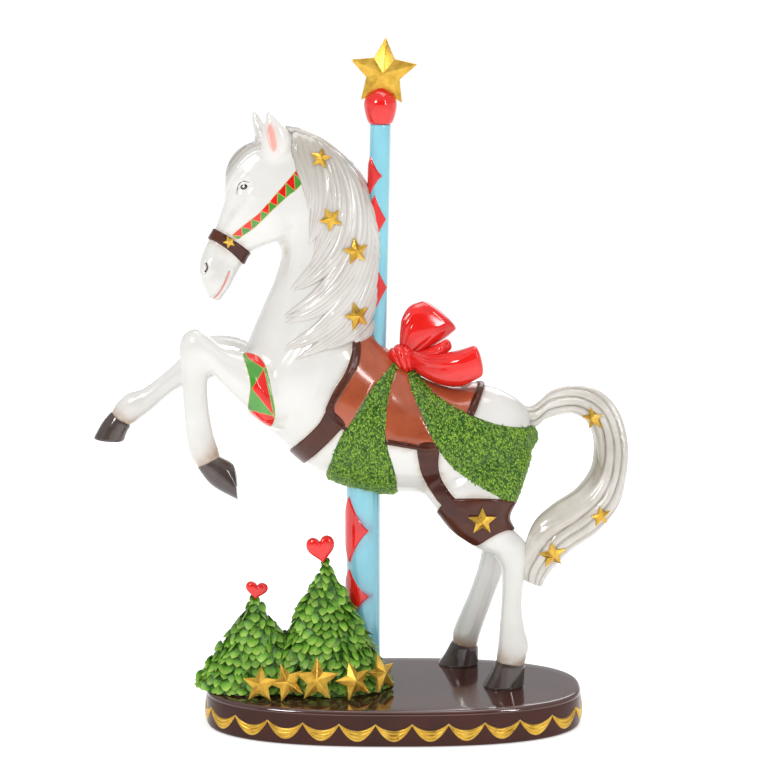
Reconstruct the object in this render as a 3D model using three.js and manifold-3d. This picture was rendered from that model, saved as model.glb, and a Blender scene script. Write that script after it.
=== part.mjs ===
// A carousel horse on its display stand: a rearing cast horse carried by a striped pole in two
// lengths, with a leaf garland, a ribbon bow, two fir trees and applied gold stars, on an oval base.
// Millimetres. Origin: middle of the base's underside. +Z is up, the horse looks along -X,
// and its near side faces -Y.
import * as THREE from 'three';
import { mergeVertices } from 'three/addons/utils/BufferGeometryUtils.js';
import Module from 'manifold-3d';

const wasm = await Module();
wasm.setup();

// ---------------------------------------------------------------- driving dimensions
const GAP = 0.35;                     // clearance kept between neighbouring pieces
const BASE = { halfLength: 261.5, halfDepth: 121, height: 50.7, edge: 3.5, squareness: 2.5 };
const SCALLOP = { count: 26, top: 33.5, sag: 9.5, tip: 2.5, swell: 13.5, proud: 2.6, steps: 3 };
const MIDDLE = 35;                    // y of the horse's middle plane and of both poles
const FLOOR = BASE.height + GAP;      // what stands on the base starts here
const LOWER_POLE = { x: -42, radius: 23.6 };
const UPPER_POLE = { footX: -25, headX: -18, radius: 14, top: 824 };
const RELIEF = { saddle: 3, strap: 3.6, mane: 4, lock: 5.5, garland: 7.5 };
const STAR_WAIST = 0.46;              // inner radius of a five-pointed star over its outer radius
const EYE_POINT = new THREE.Vector3(-9.8, -3000, 1050);   // flank patterns are laid out from here

// ---------------------------------------------------------------- solids and meshes
const vec = (x, y, z) => new THREE.Vector3(x, y, z);

/** Turns a closed three.js geometry into a manifold solid that faces outward. */
function solid(geometry) {
  geometry.deleteAttribute('normal');
  geometry.deleteAttribute('uv');
  const merged = mergeVertices(geometry, 1e-3);
  const points = merged.attributes.position.array;
  const corners = [];
  let volume = 0;
  const [a, b, c] = [vec(), vec(), vec()];
  for (let i = 0; i < merged.index.count; i += 3) {
    const [p, q, r] = [0, 1, 2].map((k) => merged.index.getX(i + k));
    if (p === q || q === r || r === p) continue;
    corners.push(p, q, r);
    a.fromArray(points, 3 * p);
    b.fromArray(points, 3 * q);
    c.fromArray(points, 3 * r);
    volume += a.dot(b.cross(c));
  }
  if (volume < 0) corners.reverse();
  return new wasm.Manifold(new wasm.Mesh({
    numProp: 3,
    vertProperties: new Float32Array(points),
    triVerts: new Uint32Array(corners),
  }));
}

/** A solid's room: six copies of it shifted by the gap, for cutting a neighbour clear of it. */
function grown(body) {
  const shifts = [[GAP, 0, 0], [-GAP, 0, 0], [0, GAP, 0], [0, -GAP, 0], [0, 0, GAP], [0, 0, -GAP]];
  return join(shifts.map((shift) => body.translate(shift)));
}

const join = (...parts) => parts.flat().reduce((whole, part) => whole.add(part));

/** The largest piece of a solid that cuts have left in several. */
const larger = (a, b) => (b.volume() > a.volume() ? b : a);
const largest = (body) => body.decompose().reduce(larger);

/** The three.js geometry of a manifold solid. */
function geometryOf(body) {
  const mesh = body.getMesh();
  const geometry = new THREE.BufferGeometry();
  geometry.setAttribute('position', new THREE.BufferAttribute(mesh.vertProperties, 3));
  geometry.setIndex(new THREE.BufferAttribute(mesh.triVerts, 1));
  geometry.computeVertexNormals();
  return geometry;
}

/** A closed skin over rings of equal length, closed by a fan at each end. */
function skin(rings, tips) {
  const sides = rings[0].length;
  const points = [...rings.flat(), ...tips];
  const index = [];
  for (let r = 0; r + 1 < rings.length; r++) {
    for (let k = 0; k < sides; k++) {
      const near = r * sides + k;
      const next = r * sides + (k + 1) % sides;
      index.push(near, next, next + sides, near, next + sides, near + sides);
    }
  }
  const [first, last] = [rings.length * sides, rings.length * sides + 1];
  const end = (rings.length - 1) * sides;
  for (let k = 0; k < sides; k++) {
    const next = (k + 1) % sides;
    index.push(first, next, k, last, end + k, end + next);
  }
  const geometry = new THREE.BufferGeometry().setFromPoints(points);
  geometry.setIndex(index);
  return geometry;
}

/**
 * A form drawn in profile: each station is [frontX, frontZ, backX, backZ, middleY, halfWidth],
 * the two edges of its outline and its place and half-width across. grow fattens it all round.
 */
function profileRings(stations, ringCount, sideCount, grow = 0) {
  const through = (pick) => new THREE.CatmullRomCurve3(stations.map((s) => vec(...pick(s))));
  const front = through((s) => [s[0], 0, s[1]]);
  const back = through((s) => [s[2], 0, s[3]]);
  const across = through((s) => [s[4], s[5], 0]);
  const rings = [];
  for (let r = 0; r < ringCount; r++) {
    const t = r / (ringCount - 1);
    const [f, b, w] = [front.getPoint(t), back.getPoint(t), across.getPoint(t)];
    const middle = f.clone().add(b).multiplyScalar(0.5).setY(w.x);
    const reach = f.clone().sub(b).multiplyScalar(0.5);
    reach.setLength(reach.length() + grow);
    const ring = [];
    for (let k = 0; k < sideCount; k++) {
      const angle = 2 * Math.PI * k / sideCount;
      const point = middle.clone().addScaledVector(reach, Math.cos(angle));
      point.y += (w.y + grow) * Math.sin(angle);
      ring.push(point);
    }
    rings.push(ring);
  }
  return rings;
}

const centreOf = (ring) => ring.reduce((sum, p) => sum.add(p), vec(0, 0, 0)).divideScalar(ring.length);

/** The solid of a profile form; dome pushes the middle of each end outward. */
function profile(stations, ringCount, sideCount, grow = 0, dome = 0) {
  const rings = profileRings(stations, ringCount, sideCount, grow);
  const tip = (end, inner) => {
    const out = end.clone().sub(inner).setLength(dome + grow);
    return end.clone().add(out);
  };
  const ends = [centreOf(rings[0]), centreOf(rings[1])];
  const tails = [centreOf(rings.at(-1)), centreOf(rings.at(-2))];
  return solid(skin(rings, [tip(...ends), tip(...tails)]));
}

// ---------------------------------------------------------------- laying patterns on a flank
/** The point in line with the eye point and (x, z) of the middle plane, at depth y. */
function castTo(x, z, y) {
  const onPlane = vec(x, MIDDLE, z);
  const share = (y - EYE_POINT.y) / (MIDDLE - EYE_POINT.y);
  return EYE_POINT.clone().lerp(onPlane, share);
}

/** A block through the near or far half of the horse behind an outline drawn on its middle plane. */
function castBlock(outline, depth = 110, inner = 0) {
  const shape = new THREE.Shape(outline.map(([x, z]) => new THREE.Vector2(x, z)));
  const geometry = new THREE.ExtrudeGeometry(shape, { depth: 1, bevelEnabled: false });
  const at = geometry.attributes.position;
  for (let i = 0; i < at.count; i++) {
    const y = at.getZ(i) > 0.5 ? MIDDLE - depth : MIDDLE + inner;
    const point = castTo(at.getX(i), at.getY(i), y);
    at.setXYZ(i, point.x, point.y, point.z);
  }
  return solid(geometry);
}

/** The same block mirrored to the far side. */
const mirrored = (block) => block.mirror([0, 1, 0]).translate([0, 2 * MIDDLE, 0]);

/** Where a sight line through (x, z) of the middle plane first meets a target mesh. */
function touch(target, x, z) {
  const ray = new THREE.Raycaster(EYE_POINT, vec(x, MIDDLE, z).sub(EYE_POINT).normalize());
  const hit = ray.intersectObject(target)[0];
  return hit ? hit.point : castTo(x, z, MIDDLE);
}

/** Surface point and outward direction from three touches about (x, z). */
function seat(target, x, z, reach) {
  const [a, b, c] = [90, 210, 330].map((degrees) => {
    const angle = THREE.MathUtils.degToRad(degrees);
    return touch(target, x + reach * Math.cos(angle), z + reach * Math.sin(angle));
  });
  const normal = b.clone().sub(a).cross(c.clone().sub(a)).normalize();
  if (normal.y > 0) normal.negate();
  return { point: a.add(b).add(c).divideScalar(3), normal };
}

const seen = (body) => new THREE.Mesh(geometryOf(body), new THREE.MeshStandardMaterial());

// ---------------------------------------------------------------- the horse's forms
// [frontX, frontZ, backX, backZ, middleY, halfWidth]; the trunk runs from poll to rump.
const TRUNK = [
  [-178, 700, -146, 819, 33, 22],
  [-153, 655, -92, 796, 34, 28],
  [-160, 620, -47, 750, MIDDLE, 34],
  [-178, 578, -27, 698, MIDDLE, 41],
  [-196, 536, -25, 612, MIDDLE, 50],
  [-213, 488, -29, 542, MIDDLE, 59],
  [-206, 438, -8, 514, MIDDLE, 65],
  [-160, 394, 20, 490, MIDDLE, 68],
  [-106, 348, 50, 474, MIDDLE, 70],
  [-40, 325, 84, 467, MIDDLE, 71],
  [20, 317, 114, 468, MIDDLE, 70],
  [70, 318, 145, 461, MIDDLE, 67],
  [120, 325, 172, 446, MIDDLE, 60],
  [163, 345, 190, 427, MIDDLE, 44],
  [188, 372, 198, 408, MIDDLE, 20],
];
const HEAD = [
  [-170, 800, -140, 806, 34, 15],
  [-190, 799, -120, 785, 34, 24],
  [-210, 788, -112, 740, 33, 29],
  [-224, 766, -122, 695, 31, 31],
  [-226, 743, -143, 668, 30, 31],
  [-229, 719, -165, 664, 28, 28],
  [-234, 705, -184, 656, 27, 24.5],
  [-241, 685, -196, 651, 26, 21.5],
  [-250, 669, -205, 635, 25, 19.5],
  [-260, 647, -212, 624, 23, 19],
  [-263, 631, -218, 612, 22, 19.5],
  [-259, 611, -226, 599, 21, 17],
  [-251, 597, -237, 593, 21, 9],
];
const NEAR_FORELEG = [
  [-165, 500, -118, 415, 22, 36],
  [-196, 519, -160, 412, -2, 32],
  [-228, 527, -200, 445, -12, 21],
  [-250, 544, -231, 476, -13, 17],
  [-268, 553, -247, 496, -13, 16.5],
  [-283, 545, -250, 495, -13, 16],
  [-289, 526, -250, 488, -13, 15],
  [-287, 502, -252, 476, -13, 13],
  [-285, 458, -251, 450, -13, 11],
  [-283, 420, -247, 420, -13, 11],
  [-280, 393, -242, 398, -13, 12.5],
  [-274, 374, -238, 385, -13, 13],
  [-264, 360, -236, 376, -13, 12.5],
];
const FAR_FORELEG = [
  [-165, 500, -118, 415, 48, 36],
  [-196, 519, -160, 412, 68, 30],
  [-225, 528, -200, 450, 76, 22],
  [-260, 526, -245, 472, 81, 17],
  [-285, 510, -270, 458, 82, 15.5],
  [-302, 491, -297, 455, 82, 13],
  [-330, 467, -319, 440, 82, 11],
  [-352, 452, -338, 423, 82, 11.5],
  [-371, 446, -354, 411, 82, 13],
  [-386, 433, -364, 404, 82, 12.5],
  [-395, 418, -371, 401, 82, 12],
];
const NEAR_HINDLEG = [
  [28, 336, 190, 405, 24, 42],
  [41, 323, 190, 372, 4, 40],
  [61, 299, 174, 328, -7, 35],
  [87, 268, 157, 293, -12, 26],
  [115, 248, 165, 274, -12, 20],
  [137, 238, 180, 258, -12, 17.5],
  [147, 222, 184, 236, -12, 16],
  [149, 198, 180, 204, -12, 13.5],
  [148, 163, 177, 166, -12, 12],
  [146, 132, 182, 130, -12, 13],
  [144, 106, 187, 110, -12, 14.5],
  [142, 84, 180, 78, -12, 13.5],
];
const FAR_HINDLEG = [
  [60, 330, 190, 395, 52, 40],
  [80, 298, 175, 328, 74, 33],
  [106, 262, 163, 292, 81, 23],
  [121, 238, 166, 258, 82, 17.5],
  [124, 219, 163, 227, 82, 15.5],
  [119, 193, 155, 188, 83, 13.5],
  [108, 158, 145, 158, 85, 12],
  [96, 128, 132, 120, 87, 12.5],
  [85, 98, 124, 95, 88, 14.5],
  [84, 82, 119, 74, 88, 13.5],
];
const TAIL = [
  [160, 452, 176, 400, MIDDLE, 14],
  [187, 437, 198, 409, MIDDLE, 15],
  [218, 459, 210, 420, MIDDLE, 17],
  [252, 467, 247, 428, 31, 19],
  [284, 459, 265, 418, 27, 21],
  [307, 436, 273, 403, 22, 22],
  [321, 395, 275, 380, 16, 23],
  [322, 351, 270, 354, 10, 23],
  [313, 308, 249, 327, 4, 23],
  [284, 272, 219, 308, -2, 22],
  [246, 246, 193, 286, -8, 20],
  [223, 224, 179, 253, -11, 17],
  [212, 208, 178, 221, -12, 12],
  [204, 190, 186, 196, -12, 6],
];
const HOOVES = {
  nearFore: [[-268, 362, -237, 378, -13, 15], [-249, 338, -219, 367, -13, 18],
    [-212, 317, -214, 352, -13, 20]],
  farFore: [[-396, 420, -368, 399, 82, 14.5], [-408, 405, -373, 391, 82, 17],
    [-420, 383, -378, 379, 82, 19]],
  nearHind: [[141, 88, 183, 82, -12, 17], [133, 69, 182, 66, -12, 19], [124, FLOOR, 180, FLOOR, -12, 21]],
  farHind: [[82, 84, 122, 76, 88, 17], [73, 66, 122, 63, 88, 19], [64, FLOOR, 121, FLOOR, 88, 21]],
};
const EARS = {
  near: [[-178, 800, -142, 793, 14, 12], [-176, 808, -144, 806, 12, 11], [-171, 824, -150, 822, 11, 7.5],
    [-167, 839, -163, 838, 11, 1.5]],
  far: [[-186, 795, -160, 795, 54, 10], [-187, 808, -166, 806, 57, 9.5], [-190, 823, -175, 821, 59, 6.5],
    [-190, 836, -186, 836, 60, 1.5]],
};

// The horse's forms as solids, each fattened all round by grow.
const trunk = (grow = 0) => profile(TRUNK, 19, 14, grow, 8);
const head = (grow = 0) => profile(HEAD, 13, 10, grow, 3);
const limb = (stations, grow = 0) => profile(stations, stations.length, 8, grow, 3);
const hoof = (stations, grow = 0) => profile(stations, 3, 8, grow);
const ear = (stations, grow = 0) => profile(stations, 4, 5, grow);

/** The bare body, without forelegs, tail, mane and harness. */
function bareHorse(grow) {
  return join(
    trunk(grow),
    head(grow),
    limb(NEAR_HINDLEG, grow),
    limb(FAR_HINDLEG, grow),
    hoof(HOOVES.nearHind, grow),
    hoof(HOOVES.farHind, grow),
    Object.values(EARS).map((stations) => ear(stations, grow)),
  );
}

/** A foreleg with its hoof, parted from the body at the shoulder. */
const foreleg = (stations, hoofStations) => limb(stations).add(hoof(hoofStations)).subtract(trunk(GAP));

// ---------------------------------------------------------------- tail with its flutes
/** The tail: locks lie side by side along it, so its section is fluted. */
function fluted(stations, ringCount, grow = 0) {
  const sides = 14;
  const rings = profileRings(stations, ringCount, sides, grow);
  rings.forEach((ring, r) => {
    const middle = centreOf(ring);
    const depth = 0.16 * Math.sin(Math.PI * Math.min(1, r / (ringCount - 1) + 0.15));
    ring.forEach((point, k) => {
      if (k % 2) point.lerp(middle, depth);
    });
  });
  return solid(skin(rings, [centreOf(rings[0]), centreOf(rings.at(-1))]));
}

// ---------------------------------------------------------------- mane and forelock
// Each lock runs from near the crest to its tip, in x and z on the middle plane, with its full width.
const LOCKS = [
  [[-138, 808], [-114, 784], [-106, 748], [-118, 708], 24],
  [[-114, 798], [-86, 764], [-88, 712], [-118, 658], 26],
  [[-86, 776], [-60, 732], [-68, 685], [-112, 630], 26],
  [[-64, 748], [-44, 700], [-66, 646], [-148, 592], 28],
  [[-46, 706], [-42, 650], [-68, 600], [-155, 556], 28],
  [[-42, 655], [-44, 600], [-78, 556], [-165, 511], 28],
  [[-40, 600], [-50, 556], [-92, 524], [-138, 499], 26],
  [[-38, 560], [-46, 540], [-66, 528], [-94, 516], 20],
];
const FORELOCKS = [
  [[-160, 808], [-186, 797], [-206, 781], [-216, 754], 15],
];

/** One tapering lock laid along a flank: a flattened five-sided sweep that ends in a point. */
function lock(target, [...points], lift, rings = 6, sides = 4) {
  const width = points.pop();
  const path = new THREE.CatmullRomCurve3(points.map(([x, z]) => vec(x, 0, z)));
  const sections = [];
  const tips = [];
  for (let r = 0; r < rings; r++) {
    const t = r / (rings - 1);
    const [at, along] = [path.getPoint(t), path.getTangent(t)];
    const { point, normal } = seat(target, at.x, at.z, 5);
    const across = normal.clone().cross(along).normalize();
    const fullness = Math.sqrt(Math.sin(Math.PI * (0.16 + 0.84 * t)));
    const ring = [];
    for (let k = 0; k < sides; k++) {
      const angle = 2 * Math.PI * k / sides;
      ring.push(point.clone()
        .addScaledVector(across, 0.5 * width * fullness * Math.cos(angle))
        .addScaledVector(normal, lift * (0.6 + fullness * Math.sin(angle))));
    }
    sections.push(ring);
    tips.push(point.clone().addScaledVector(normal, 0.6 * lift));
  }
  return solid(skin(sections, [tips[0], tips.at(-1)]));
}

// ---------------------------------------------------------------- harness outlines
const OUTLINES = {
  mane: [[-150, 822], [-117, 816], [-84, 794], [-57, 766], [-36, 740], [-24, 700], [-20, 640], [-22, 560],
    [-28, 534], [-57, 520], [-100, 512], [-130, 506], [-120, 530], [-100, 560], [-112, 600], [-92, 640],
    [-108, 690], [-112, 740], [-138, 790]],
  saddle: [[-60, 560], [-57, 520], [-68, 482], [-94, 429], [-76, 394], [-40, 385], [-9, 383], [55, 374],
    [86, 396], [112, 427], [126, 470], [126, 500], [60, 520], [0, 560]],
  frontStrap: [[-94, 429], [-103, 413], [-125, 391], [-150, 372], [-140, 350], [-115, 358], [-95, 378],
    [-75, 402], [-68, 408]],
  rearStrap: [[34, 380], [35, 357], [41, 336], [53, 316], [67, 300], [86, 304], [79, 314], [67, 333],
    [62, 352], [61, 380]],
  thighWrap: [[60, 288], [70, 300], [81, 306], [119, 307], [162, 305], [154, 291], [157, 281], [168, 262],
    [145, 256], [116, 239], [100, 247], [80, 262]],
  noseband: [[-243, 683], [-219, 670], [-193, 651], [-204, 633], [-228, 656], [-250, 669]],
  frontGarland: [[14, 530], [-8, 530], [-10, 497], [-14, 483], [-30, 465], [-43, 444], [-57, 420],
    [-68, 404], [-78, 383], [-87, 359], [-93, 343], [-91, 326], [-71, 319], [-48, 315], [-25, 312], [-9, 312],
    [5, 318], [4, 333], [-2, 357], [-8, 376], [-10, 399], [-9, 427], [-3, 455], [2, 476], [10, 500]],
  rearGarland: [[10, 530], [34, 530], [30, 492], [41, 474], [54, 458], [70, 446], [96, 431], [119, 420],
    [142, 412], [168, 409], [186, 410], [198, 417], [198, 380], [191, 357], [180, 333], [168, 303],
    [155, 305], [125, 321], [102, 336], [83, 350], [67, 369], [57, 383], [48, 399], [39, 420],
    [29, 444], [22, 462], [15, 481], [12, 500]],
  farFrontGarland: [[14, 530], [-10, 530], [-14, 483], [-57, 420], [-87, 359], [-88, 330], [-10, 312],
    [2, 330], [-10, 399], [2, 476], [10, 500]],
  farRearGarland: [[10, 530], [34, 530], [30, 492], [70, 446], [119, 420], [168, 409], [184, 410],
    [180, 375], [150, 355], [110, 362], [75, 385], [45, 430], [12, 500]],
};

/** A raised panel: a fattened form, kept only behind the outline, on one flank or on both. */
function panel(outline, fat, bothSides = true) {
  const near = castBlock(outline);
  return fat.intersect(bothSides ? near.add(mirrored(near)) : near);
}

// ---------------------------------------------------------------- the cast horse
/** The body casting: head, neck, trunk and hind legs with mane, saddle and straps. */
function castBody() {
  const bare = bareHorse(0);
  const surface = seen(bare);
  return join(
    bare,
    panel(OUTLINES.mane, trunk(RELIEF.mane), false),
    panel(OUTLINES.saddle, trunk(RELIEF.saddle)),
    panel(OUTLINES.frontStrap, trunk(RELIEF.strap)),
    panel(OUTLINES.rearStrap, nearHaunch(RELIEF.strap), false),
    panel(OUTLINES.thighWrap, nearHaunch(RELIEF.strap), false),
    panel(OUTLINES.noseband, head(RELIEF.strap)),
    LOCKS.map((points) => lock(surface, points, RELIEF.lock)),
    FORELOCKS.map((points) => lock(surface, points, RELIEF.strap)),
  );
}

// ---------------------------------------------------------------- stars and hearts
/** A faceted five-pointed star, face up +Z: ridges rise to the middle from an upright rim. */
function star(radius, thick, rim, grow = 0, twoFaced = false, waist = STAR_WAIST) {
  const ring = (z) => Array.from({ length: 10 }, (_, k) => {
    const angle = Math.PI / 2 + Math.PI * k / 5;
    const reach = (k % 2 ? waist * radius : radius) + grow;
    return vec(reach * Math.cos(angle), reach * Math.sin(angle), z);
  });
  const low = twoFaced ? -rim : -grow;
  const foot = twoFaced ? -thick : low;
  return solid(skin([ring(low), ring(rim + grow)], [vec(0, 0, foot - grow), vec(0, 0, thick + grow)]));
}

/** Stands a face-up solid at a point, its face along normal, turned about it by turn degrees. */
function stand(body, point, normal, turn = 0) {
  const side = vec(0, 0, 1).cross(normal).normalize();
  const up = normal.clone().cross(side);
  const frame = new THREE.Matrix4().makeBasis(side, up, normal).setPosition(point);
  frame.multiply(new THREE.Matrix4().makeRotationZ(THREE.MathUtils.degToRad(turn)));
  return body.transform(frame.elements);
}

/** A plump heart standing upright on its point, facing -Y. */
function heart(width, height, thick, grow = 0) {
  const [w, h] = [width / 2 + grow, height + grow];
  const shape = new THREE.Shape();
  shape.moveTo(0, -grow);
  shape.bezierCurveTo(0.35 * w, 0.3 * h, w, 0.42 * h, w, 0.7 * h);
  shape.bezierCurveTo(w, 1.08 * h, 0.12 * w, 1.1 * h, 0, 0.78 * h);
  shape.bezierCurveTo(-0.12 * w, 1.1 * h, -w, 1.08 * h, -w, 0.7 * h);
  shape.bezierCurveTo(-w, 0.42 * h, -0.35 * w, 0.3 * h, 0, -grow);
  const bevel = 0.3 * thick;
  const geometry = new THREE.ExtrudeGeometry(shape, {
    depth: thick - 2 * bevel + 2 * grow,
    curveSegments: 3,
    bevelThickness: bevel,
    bevelSize: bevel,
    bevelOffset: -bevel,
    bevelSegments: 1,
  });
  geometry.translate(0, 0, bevel - thick / 2 - grow).rotateX(Math.PI / 2);
  return solid(geometry);
}

// ---------------------------------------------------------------- base with its scalloped rim
/** Point of the base's outline at an angle, pulled in by inset. */
function outlinePoint(angle, inset = 0) {
  const bend = (value) => Math.sign(value) * Math.abs(value) ** (2 / BASE.squareness);
  const x = (BASE.halfLength - inset) * bend(Math.cos(angle));
  const y = (BASE.halfDepth - inset) * bend(Math.sin(angle));
  return vec(x, y, 0);
}

/** Evenly spaced places round the base's wall, each with its point and outward direction. */
function wallPlaces(count) {
  const outline = new THREE.CatmullRomCurve3(
    Array.from({ length: 240 }, (_, k) => outlinePoint(2 * Math.PI * k / 240)), true);
  outline.arcLengthDivisions = 960;
  return Array.from({ length: count }, (_, k) => {
    const along = outline.getTangentAt(k / count);
    return { point: outline.getPointAt(k / count), outward: vec(along.y, -along.x, 0) };
  });
}

/** One raised crescent of the rim, hanging between two peaks. */
function scallop(places) {
  const last = places.length - 1;
  const sections = places.map(({ point, outward }, k) => {
    const swell = 1 - (2 * k / last - 1) ** 2;
    const top = SCALLOP.top - SCALLOP.sag * swell;
    const low = top - SCALLOP.tip - SCALLOP.swell * swell;
    const at = (z, proud) => point.clone().addScaledVector(outward, proud).setZ(z);
    return [at(top, -2), at(low, -2), at((top + low) / 2, SCALLOP.proud * (0.4 + 0.6 * swell))];
  });
  return solid(skin(sections, [centreOf(sections[0]), centreOf(sections[last])]));
}

function base() {
  const steps = SCALLOP.count * SCALLOP.steps;
  const ring = (inset, z) => wallPlaces(2 * SCALLOP.count)
    .map(({ point, outward }) => point.clone().addScaledVector(outward, -inset).setZ(z));
  const { height, edge } = BASE;
  const slab = solid(skin(
    [ring(edge, 0), ring(0, edge), ring(0, height - edge), ring(edge, height)],
    [vec(0, 0, 0), vec(0, 0, height)],
  ));
  const places = wallPlaces(steps);
  const scallops = Array.from({ length: SCALLOP.count }, (_, n) => scallop(
    Array.from({ length: SCALLOP.steps + 1 }, (_, k) => places[(n * SCALLOP.steps + k) % steps])));
  return join(slab, scallops);
}

// ---------------------------------------------------------------- poles
/** A round rod between two points of the poles' plane. */
function rod(foot, top, radius, sides = 14) {
  const length = foot.distanceTo(top);
  const geometry = new THREE.CylinderGeometry(radius, radius, length, sides).translate(0, length / 2, 0);
  const turn = new THREE.Quaternion().setFromUnitVectors(vec(0, 1, 0), top.clone().sub(foot).normalize());
  geometry.applyQuaternion(turn).translate(foot.x, foot.y, foot.z);
  return solid(geometry);
}

/** A raised lozenge cut from a fatter rod: middle at (x, z) on the side that turn degrees points to. */
function lozenge(fatRod, axisX, z, turn, halfWidth, halfHeight) {
  const shape = new THREE.Shape([[halfWidth, 0], [0, halfHeight], [-halfWidth, 0], [0, -halfHeight]]
    .map(([a, b]) => new THREE.Vector2(a, b)));
  const geometry = new THREE.ExtrudeGeometry(shape, { depth: 60, bevelEnabled: false });
  geometry.rotateX(Math.PI / 2).rotateZ(THREE.MathUtils.degToRad(turn)).translate(axisX, MIDDLE, z);
  return fatRod.intersect(solid(geometry));
}

function pole(foot, top, radius, lozenges) {
  const fatRod = rod(foot, top, radius + LOZENGE_PROUD);
  const axisX = (z) => THREE.MathUtils.mapLinear(z, foot.z, top.z, foot.x, top.x);
  return join(rod(foot, top, radius), lozenges.map(({ z, turn, half }) => (
    lozenge(fatRod, axisX(z), z, turn, 0.97 * radius, half))));
}

// ---------------------------------------------------------------- fir trees
/** A fir of overlapping tiers: each tier ends in a ring of hanging leaf tips. */
function tree({ x, y, foot, apex, reachX, reachY, tiers, leaves }, grow) {
  const sides = 2 * leaves;
  const ring = (share, z, jag, twist) => Array.from({ length: sides }, (_, k) => {
    const angle = 2 * Math.PI * (k + twist) / sides;
    const reach = share * (k % 2 ? 1 - jag : 1);
    const [outX, outY] = [reachX, reachY].map((size) => size * reach + grow);
    return vec(x + outX * Math.cos(angle), y + outY * Math.sin(angle), z);
  });
  const rings = [ring(0.96, foot, 0.06, 0)];
  for (let tier = 0; tier < tiers; tier++) {
    const share = (tiers - tier) / (tiers + 0.4);
    const z = THREE.MathUtils.lerp(foot, apex, tier / (tiers + 0.4));
    const twist = tier % 2;
    rings.push(ring(share + 0.035, z + 4, 0.13, twist), ring(share - 0.075, z + 15, 0.05, twist));
  }
  return solid(skin(rings, [vec(x, y, foot), vec(x, y, apex + grow)]));
}

// ---------------------------------------------------------------- garland and bow
/** An outline broken into small points, as leaves break an edge. */
function leafy(outline, pitch, depth) {
  return outline.flatMap(([x, z], n) => {
    const [nextX, nextZ] = outline[(n + 1) % outline.length];
    const length = Math.hypot(nextX - x, nextZ - z);
    const pieces = Math.max(1, Math.round(length / pitch));
    return Array.from({ length: 2 * pieces }, (_, k) => {
      const t = k / (2 * pieces);
      const out = (k % 2 ? depth : 0) / length;
      return [x + t * (nextX - x) + out * (nextZ - z), z + t * (nextZ - z) - out * (nextX - x)];
    });
  });
}

/** Trunk and near thigh as one form, fattened all round by grow. */
const nearHaunch = (grow) => trunk(grow).add(limb(NEAR_HINDLEG, grow));

/** A garland hangs on both flanks as a shell over the saddle and straps; its near edge is leafy. */
function garland(nearOutline, farOutline) {
  const layer = (form) => form(RELIEF.garland).subtract(form(RELIEF.strap + GAP));
  const near = layer(nearHaunch).intersect(castBlock(leafy(nearOutline, 32, 3.5)));
  return near.add(layer(trunk).intersect(mirrored(castBlock(farOutline))));
}

// Bow parts as [topX, topZ, lowX, lowZ, middleY, halfWidth].
const BOW = {
  knot: [[-9, 513, 2, 497, 27, 10], [2, 524, 10, 490, 27, 17], [18, 522, 20, 487, 27, 18],
    [31, 516, 30, 491, 28, 11]],
  farLoop: [[8, 520, 24, 504, 38, 9], [14, 546, 38, 512, 43, 14], [31, 575, 55, 520, 48, 18],
    [58, 571, 72, 528, 52, 17], [85, 547, 87, 538, 55, 6]],
  nearLoop: [[24, 518, 28, 488, 28, 10], [50, 520, 44, 477, 20, 17], [85, 524, 72, 468, 12, 20],
    [108, 528, 104, 470, 5, 18], [122, 506, 121, 484, 1, 7]],
};

const bow = () => join(Object.values(BOW)
  .map((stations) => profile(stations, stations.length, 8)));

// ---------------------------------------------------------------- where the loose pieces go
const LOZENGE_PROUD = 2.2;
const STAR_LEAN = 0.35;               // rise over run of the base stars as they lean on the trees
const LOWER_LOZENGES = [{ z: 266, turn: -60, half: 46 }, { z: 172, turn: -52, half: 38 },
  { z: 92, turn: -60, half: 38 }];
const UPPER_LOZENGES = [{ z: 756, turn: -55, half: 26 }, { z: 697, turn: -25, half: 34 },
  { z: 604, turn: -8, half: 30 }];
const TREE_Y = -8;
const TREES = {
  tree_left: { x: -190, y: TREE_Y, foot: FLOOR, apex: 180, reachX: 84, reachY: 50, tiers: 7, leaves: 10 },
  tree_right: { x: -93, y: TREE_Y, foot: FLOOR, apex: 231, reachX: 97, reachY: 54, tiers: 9, leaves: 10 },
};
const HEARTS = {
  heart_left: { x: -191, foot: 175, width: 29, height: 26, thick: 12, lean: 8 },
  heart_right: { x: -96, foot: 226, width: 38, height: 40, thick: 14, lean: -10 },
};
const TOP_STAR = { x: -14, y: MIDDLE - 4, z: 893, radius: 47, thick: 12, rim: 3, turn: -4 };
// Stars on the horse: x and z on its middle plane, outer radius and turn in degrees.
const HORSE_STARS = {
  star_mane_1: [-99, 778, 15, -12],
  star_mane_2: [-85, 696, 17, 30],
  star_mane_3: [-52, 655, 18, 5],
  star_mane_4: [-48, 563, 19, 14],
  star_bridle: [-223, 665, 9, 20],
  star_thigh: [123, 275, 20, 0],
  star_tail_1: [276, 421, 17, 10],
  star_tail_2: [287, 282, 16, 12],
  star_tail_3: [221, 227, 20, 8],
};
// Stars along the foot of the trees: x, y, outer radius, turn and the way they face in degrees.
const BASE_STARS = {
  star_base_1: [-181, -68, 26, 0, -8],
  star_base_2: [-137.5, -65, 27, 20, 0],
  star_base_3: [-99, -69, 31, 0, 0],
  star_base_4: [-50, -60, 28, 10, 25],
  star_base_5: [-12, -38, 28, 0, 50],
};

// ---------------------------------------------------------------- materials
const paint = (color, roughness, metalness = 0) => (
  new THREE.MeshStandardMaterial({ color, roughness, metalness }));
const PAINT = {
  white: paint(0xe8e6df, 0.25),
  taupe: paint(0xc8c2ba, 0.3),
  green: paint(0x4f8c2c, 0.5),
  fir: paint(0x47803a, 0.5),
  red: paint(0xe02a2c, 0.2),
  gold: paint(0xd7a832, 0.35, 0.6),
  blue: paint(0x78c3d2, 0.3),
  chocolate: paint(0x46261f, 0.15),
};

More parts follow.
